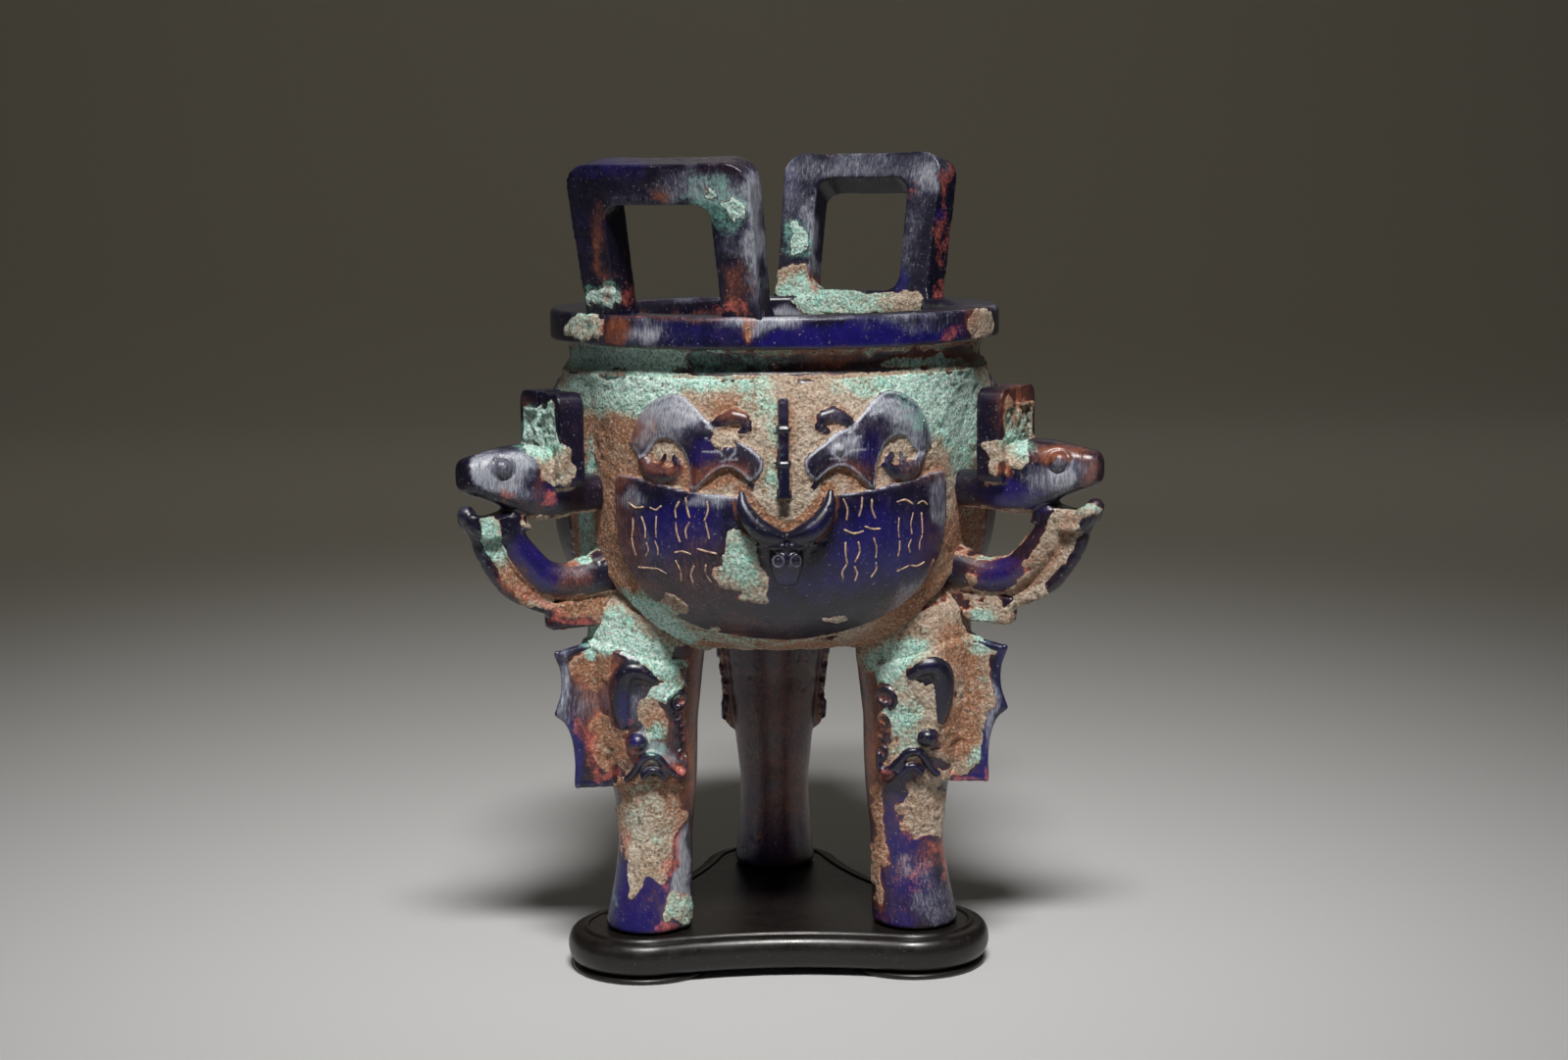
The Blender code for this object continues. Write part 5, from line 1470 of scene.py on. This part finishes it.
def stand():
    """The board with its bead edge, raised lip and sunk floor, on three low pads."""
    floor = -STAND_CLEARANCE
    base = floor - BOARD_THICKNESS
    inset = [(LIP_INSET + LIP_WIDTH + k, floor - 0.01 * k) for k in (5.0, 2.0, 0.9, 0.4)]
    lip = []
    for k in range(9):
        angle = math.pi * k / 8
        lip.append((
            LIP_INSET + LIP_WIDTH / 2 + LIP_WIDTH / 2 * math.cos(angle),
            floor + 0.08 + (LIP_HEIGHT - 0.12) * math.sin(angle),
        ))
    valley = [(LIP_INSET - 0.35, floor - 0.02), (LIP_INSET - 0.7, floor - 0.1)]
    edge = []
    for k in range(15):
        angle = math.radians(14 + 156 * k / 14)
        drop = BOARD_THICKNESS / 2 * (1 - math.cos(angle))
        edge.append((EDGE_WIDTH * (1 - math.sin(angle)) + 0.02, floor - drop))
    under = [(edge[-1][0] + 0.8, base + 0.05), (edge[-1][0] + PAD_EDGE, base + 0.04)]
    levels = [*inset, *lip, *valley, *edge, *under]
    board = lofted([[(x, y, z) for x, y in stand_outline(inward, 4)] for inward, z in levels])
    bottom = base - PAD_HEIGHT
    rim_at = PAD_RADIUS - PAD_EDGE / 2
    profile = [(0.0, bottom), (rim_at - 0.2, bottom)]
    profile += arc((rim_at, bottom + PAD_EDGE / 2), PAD_EDGE / 2, -85, 85, 8)
    inner = PAD_RADIUS - PAD_RECESS
    profile += [(inner, bottom + PAD_EDGE + 0.05), (inner, base + PAD_EDGE), (0.0, base + PAD_EDGE)]
    bm = bmesh.new()
    bm.from_mesh(mesh_of(board))
    for azimuth in LEG_AZIMUTHS:
        pad = turned(profile, 72)
        bmesh.ops.translate(pad, vec=(*polar(LEG_CIRCLE, azimuth), 0), verts=pad.verts)
        bm.from_mesh(mesh_of(pad))
    bmesh.ops.translate(bm, vec=(STAND_OFFSET, 0, 0), verts=bm.verts)
    mesh = mesh_of(bm)
    return mesh, spots_of(mesh)


def linear(hexcode):
    """A colour for a shader from its sRGB hex value."""
    channels = [int(hexcode[k:k + 2], 16) / 255 for k in (1, 3, 5)]
    return (*[c / 12.92 if c <= 0.04045 else ((c + 0.055) / 1.055) ** 2.4 for c in channels], 1.0)


def add(tree, kind, inputs=None, **settings):
    """Adds a node with its settings, its plain values and its links."""
    node = tree.nodes.new(kind)
    for name, value in settings.items():
        setattr(node, name, value)
    for key, value in (inputs or {}).items():
        if isinstance(value, bpy.types.NodeSocket):
            tree.links.new(value, node.inputs[key])
        else:
            node.inputs[key].default_value = value
    return node


def pitch(millimetres):
    """Texture scale on object coordinates for features this far apart."""
    return 1.0 / (millimetres * MM)


def noise(tree, place, millimetres, detail, roughness=0.5):
    """Noise from 0 to 1 whose coarsest lumps are about this many millimetres apart."""
    inputs = {"Vector": place, "Scale": pitch(millimetres), "Detail": detail, "Roughness": roughness}
    return add(tree, "ShaderNodeTexNoise", inputs).outputs["Fac"]


def stretched(tree, place, scale, turn=(0, 0, 0)):
    """The place after a scaling and a turn, for a pattern drawn out along one axis."""
    inputs = {"Vector": place, "Scale": scale, "Rotation": turn}
    return add(tree, "ShaderNodeMapping", inputs).outputs["Vector"]


def ramp(tree, value, start, end, most=1.0, least=0.0, shape="LINEAR"):
    """The least amount where a value is at its start, and the most where it is at its end."""
    inputs = {"Value": value, "From Min": start, "From Max": end, "To Min": least, "To Max": most}
    return add(tree, "ShaderNodeMapRange", inputs, interpolation_type=shape).outputs[0]


def times_plus(tree, value, factor, rest):
    inputs = {0: value, 1: factor, 2: rest}
    return add(tree, "ShaderNodeMath", inputs, operation="MULTIPLY_ADD").outputs[0]


def between(tree, low, high, share):
    return add(tree, "ShaderNodeMix", {0: share, 2: low, 3: high}).outputs[0]


def laid_over(tree, under, tint, share):
    """A tint over another colour, each of them a hex value or a socket."""
    under, tint = [linear(colour) if isinstance(colour, str) else colour for colour in (under, tint)]
    return add(tree, "ShaderNodeMix", {0: share, 6: under, 7: tint}, data_type="RGBA").outputs[2]


def new_material(name):
    """A material, its node tree, and the place of each point of the object that wears it."""
    material = bpy.data.materials.new(name)
    material.use_nodes = True
    place = add(material.node_tree, "ShaderNodeTexCoord").outputs["Object"]
    return material, material.node_tree, place


def dress(tree, colour, rough, height, strength, depth):
    """Gives the tree's shader its colour, roughness and a bump this many millimetres deep."""
    inputs = {"Height": height, "Strength": strength, "Distance": depth * MM}
    bump = add(tree, "ShaderNodeBump", inputs).outputs[0]
    shader = tree.nodes["Principled BSDF"]
    for value, name in ((colour, "Base Color"), (rough, "Roughness"), (bump, "Normal")):
        tree.links.new(value, shader.inputs[name])
    return shader


def buried_glass():
    """Cast cobalt glass after burial: glossy where bare, frosted and scratched where worn,
    under a matt crust of sand and copper salts, with iron stains at its edges."""
    material, tree, place = new_material("buried_cobalt_glass")
    crust, turquoise, earth, stain, frost, cobalt = [
        add(tree, "ShaderNodeAttribute", attribute_name=name).outputs["Fac"] for name in WASHES
    ]
    drift = noise(tree, place, 9, 5.0, 0.6)
    mottle = noise(tree, place, 2.6, 6.0, 0.7)
    sand = noise(tree, place, 0.85, 4.0, 0.75)
    grime = noise(tree, place, 4.2, 8.0, 0.78)
    specks = noise(tree, place, 0.7, 2.0)
    streaks = noise(tree, stretched(tree, place, (1.0, 1.0, 0.25), (0.25, -0.35, 0)), 0.55, 5.0, 0.75)
    scratches = noise(tree, stretched(tree, place, (1.0, 1.0, 0.14), (0.7, 0.5, 0)), 0.5, 4.0, 0.7)
    flecks = between(tree, grime, sand, 0.4)
    cells = {"Vector": place, "Scale": pitch(1.0), "Randomness": 1.0}
    grains = add(tree, "ShaderNodeTexVoronoi", cells).outputs["Distance"]

    def amount(field, breaker, low, high, push, most=1.0):
        """How strongly a wash shows: its field, broken up by a pattern."""
        broken = times_plus(tree, breaker, push, field)
        return ramp(tree, broken, low + push * 0.5, high + push * 0.5, most, shape="SMOOTHSTEP")

    # Glass: deep navy to bright cobalt, then frost, brush marks, earth, iron stains and dust. The bright
    # cobalt on the feet and on the fins' bevelled edges is painted glow.
    veil = amount(frost, flecks, 0.36, 1.20, 2.2, 0.55)
    glass = "#0f0e22"
    for tint, share in (
        ("#19126a", amount(cobalt, grime, 0.30, 1.30, 1.6)),
        ("#33324a", amount(frost, grime, 0.05, 1.0, 1.6, 0.6)),
        ("#43282c", amount(earth, grime, 0.12, 0.95, 1.8, 0.7)),
        ("#6f7189", veil),
        ("#a5a7b2", amount(frost, flecks, 0.85, 1.45, 2.6, 0.7)),
        ("#8f92a2", amount(frost, streaks, 0.50, 1.35, 2.6, 0.60)),
        ("#c8cdd0", amount(frost, scratches, 0.66, 1.35, 2.6, 0.55)),
        ("#824c3a", amount(earth, streaks, 0.45, 1.20, 2.8, 0.65)),
        ("#a5643f", amount(earth, flecks, 0.72, 1.50, 3.2, 0.8)),
        ("#cc6a5c", amount(stain, flecks, 0.68, 1.45, 3.4, 0.85)),
        ("#86c4b4", amount(turquoise, flecks, 0.72, 1.45, 3.0, 0.8)),
        ("#a9aaae", ramp(tree, specks, 0.66, 0.76, 0.55)),
    ):
        glass = laid_over(tree, glass, tint, share)

    # Crust: beige sand, earth, turquoise and white copper salts, then the bump's tops painted lighter and
    # its pits and cracks painted darker: painted highlight and painted shade.
    body = "#a58a70"
    for tint, share in (
        ("#d8cab8", amount(drift, flecks, 0.10, 0.85, 2.2)),
        ("#a35f33", amount(earth, flecks, 0.30, 1.05, 2.4, 0.85)),
        ("#9be6d6", amount(turquoise, flecks, 0.28, 0.98, 2.8, 0.94)),
        ("#e6f6f0", amount(turquoise, sand, 0.66, 1.25, 3.2, 0.9)),
        ("#c86350", amount(stain, flecks, 0.50, 1.35, 3.0, 0.85)),
        # Painted highlight on the tops of the sand and painted shade in its pits, where the bump rises and
        # sinks.
        ("#e2dccb", ramp(tree, sand, 0.52, 0.64, 0.55)),
        ("#44301f", ramp(tree, sand, 0.46, 0.36, 0.62)),
        ("#46301f", ramp(tree, mottle, 0.40, 0.33, 0.85)),
        # Painted shade in the cracks along the grains' borders, where the bump sinks.
        ("#5e4838", ramp(tree, grains, 0.45, 0.85, 0.40)),
    ):
        body = laid_over(tree, body, tint, share)

    # The crust's ragged border, with a line along it that is partly brown earth and partly painted shadow of
    # the crust's raised edge.
    ragged = times_plus(tree, sand, 0.9, crust)
    mask = ramp(tree, ragged, 0.94, 1.02, shape="SMOOTHSTEP")
    line = ramp(tree, ragged, 0.74, 0.94, 0.8, shape="SMOOTHSTEP")
    edge_shadow_and_earth = laid_over(tree, "#4e2c1f", "#c4704f", amount(earth, drift, 0.20, 0.75, 2.0))
    glass = laid_over(tree, glass, edge_shadow_and_earth, line)
    colour = laid_over(tree, glass, body, mask)

    polish = times_plus(tree, mottle, 0.12, ramp(tree, veil, 0.0, 1.0, 0.58, 0.24))
    rough = between(tree, polish, 0.92, mask)
    brushed = times_plus(tree, streaks, 0.10, 0.0)
    gritty = times_plus(tree, grains, -0.5, sand)
    shader = dress(tree, colour, rough, between(tree, brushed, gritty, mask), 1.0, 0.7)
    shader.inputs["IOR"].default_value = 1.62
    return material


def lacquered_wood():
    """Turned and carved hardwood under black lacquer: satin, with faint grain, dust and brown
    chips where the lacquer has worn."""
    material, tree, place = new_material("black_lacquered_wood")
    grain = noise(tree, stretched(tree, place, (0.12, 1.0, 1.0)), 1.2, 5.0, 0.6)
    chips = noise(tree, place, 5, 8.0, 0.75)
    dust = noise(tree, place, 0.7, 3.0)
    tone = laid_over(tree, "#0d0b0a", "#1d1917", grain)
    tone = laid_over(tree, tone, "#6d4630", ramp(tree, chips, 0.665, 0.70))
    tone = laid_over(tree, tone, "#8d877d", ramp(tree, dust, 0.62, 0.75, 0.16))
    dress(tree, tone, ramp(tree, chips, 0.3, 0.7, 0.46, 0.24), grain, 0.25, 0.12)
    return material


def stroke_fill():
    """Pale lime and clay packed in the cut strokes, dull and crumbly."""
    material, tree, place = new_material("lime_in_strokes")
    crumbs = noise(tree, place, 1.4, 5.0, 0.7)
    tone = laid_over(tree, "#5d4a56", "#d9b797", ramp(tree, crumbs, 0.36, 0.62))
    dress(tree, tone, ramp(tree, crumbs, 0.0, 1.0, 0.9, 0.6), crumbs, 0.5, 0.2)
    return material


# The studio, in metres: a floor that sweeps up into a back wall, and each soft light's place,
# target, size, watts, spread and tint.
FLOOR_HALF_WIDTH = 6.0
FLOOR_FRONT = -4.0
SWEEP_START = 1.6
SWEEP_RADIUS = 1.2
WALL_HEIGHT = 6.0
WHITE = (1.0, 0.985, 0.96)
WARM = (1.0, 0.88, 0.62)
NARROW = math.radians(40)
SOFTBOXES = (
    ("key_softbox", (0.01, -0.80, 1.24), (-0.015, -0.06, 0.09), (0.40, 0.15), 1.36, NARROW, WHITE),
    ("left_softbox", (-1.15, -0.65, 0.75), (0, 0, 0.11), (0.5, 0.5), 0.42, math.pi, WHITE),
    ("right_softbox", (1.15, -0.45, 0.70), (0, 0, 0.11), (0.5, 0.5), 0.30, math.pi, WHITE),
    ("backdrop_softbox", (0, 0.3, 1.7), (0, 2.4, 1.05), (1.8, 0.6), 6.4, math.pi, WARM),
    ("rear_softbox", (0.2, 1.5, 0.95), (0, 0, 0.12), (0.8, 0.4), 0.45, math.pi, WHITE),
)
SKY_STRENGTH = 0.022
SENSOR_WIDTH = 36.0


def stage():
    """A pale seamless floor with a swept back wall."""
    profile = [(FLOOR_FRONT, 0.0), *arc((SWEEP_START, SWEEP_RADIUS), SWEEP_RADIUS, -90, 0, 12)]
    profile.append((SWEEP_START + SWEEP_RADIUS, WALL_HEIGHT))
    bm = bmesh.new()
    verts = [bm.verts.new((-FLOOR_HALF_WIDTH, y, z)) for y, z in profile]
    edges = [bm.edges.new(pair) for pair in zip(verts, verts[1:])]
    made = bmesh.ops.extrude_edge_only(bm, edges=edges)["geom"]
    far_side = [item for item in made if isinstance(item, bmesh.types.BMVert)]
    bmesh.ops.translate(bm, vec=(2 * FLOOR_HALF_WIDTH, 0, 0), verts=far_side)
    bmesh.ops.recalc_face_normals(bm, faces=bm.faces)
    mesh = mesh_of(bm)
    mesh.shade_smooth()
    floor = bpy.data.objects.new("floor", mesh)
    bpy.context.scene.collection.objects.link(floor)
    paper = bpy.data.materials.new("pale_floor")
    paper.use_nodes = True
    shader = paper.node_tree.nodes["Principled BSDF"]
    shader.inputs["Base Color"].default_value = linear("#bebebf")
    shader.inputs["Roughness"].default_value = 0.8
    mesh.materials.append(paper)


def studio():
    """Narrow key light high in front, weak fill from both sides and behind, a warm backdrop
    light, a faint even sky, and the photograph's camera."""
    scene = bpy.context.scene
    for name, spot, target, size, power, spread, tint in SOFTBOXES:
        lamp = bpy.data.lights.new(name, "AREA")
        lamp.shape = "RECTANGLE"
        lamp.size, lamp.size_y = size
        lamp.energy = power
        lamp.spread = spread
        lamp.color = tint
        obj = bpy.data.objects.new(name, lamp)
        obj.location = spot
        obj.rotation_euler = (Vector(target) - Vector(spot)).to_track_quat("-Z", "Y").to_euler()
        scene.collection.objects.link(obj)

    world = bpy.data.worlds.new("studio")
    world.use_nodes = True
    scene.world = world
    sky = world.node_tree.nodes["Background"]
    sky.inputs["Color"].default_value = linear("#b9bbc0")
    sky.inputs["Strength"].default_value = SKY_STRENGTH

    lens = bpy.data.cameras.new("camera")
    lens.sensor_width = SENSOR_WIDTH
    lens.lens = VIEW_FOCAL * SENSOR_WIDTH / IMAGE[0]
    lens.clip_start = 0.01
    camera = bpy.data.objects.new("camera", lens)
    scene.collection.objects.link(camera)
    axes = Matrix((view_right, view_up, -view_ahead)).transposed()
    camera.matrix_world = Matrix.Translation((view_spot + Vector(VESSEL)) * MM) @ axes.to_4x4()
    scene.camera = camera
    scene.view_settings.view_transform = "Standard"


def main():
    stage()
    studio()
    glass = buried_glass()
    pieces = [
        ("belly_piece", *belly()), ("rim_piece", *rim()), ("bull_head", *bull()),
        ("front_ridge", *ridge()), ("front_ear", *ear(*EARS[0], "ear_front")),
        ("back_ear", *ear(*EARS[1], "ear_back")),
    ]
    for azimuth, side in zip(LEG_AZIMUTHS, ("left", "right", "back")):
        grain = BACK_GRAIN if side == "back" else FRONT_GRAIN
        pieces.append((f"{side}_leg", *leg(azimuth, f"leg_{side}", grain)))
        pieces.append((f"{side}_handle", *handle(azimuth, f"handle_{side}", grain)))
    for name, mesh, spots in pieces:
        finished(name, mesh, spots, glass, "burner", "patinated_cobalt_glass")
    finished("shield_strokes", *strokes(), stroke_fill(), "burner", "patinated_cobalt_glass")
    finished("carved_stand", *stand(), lacquered_wood(), "stand", "black_lacquered_wood")


main()
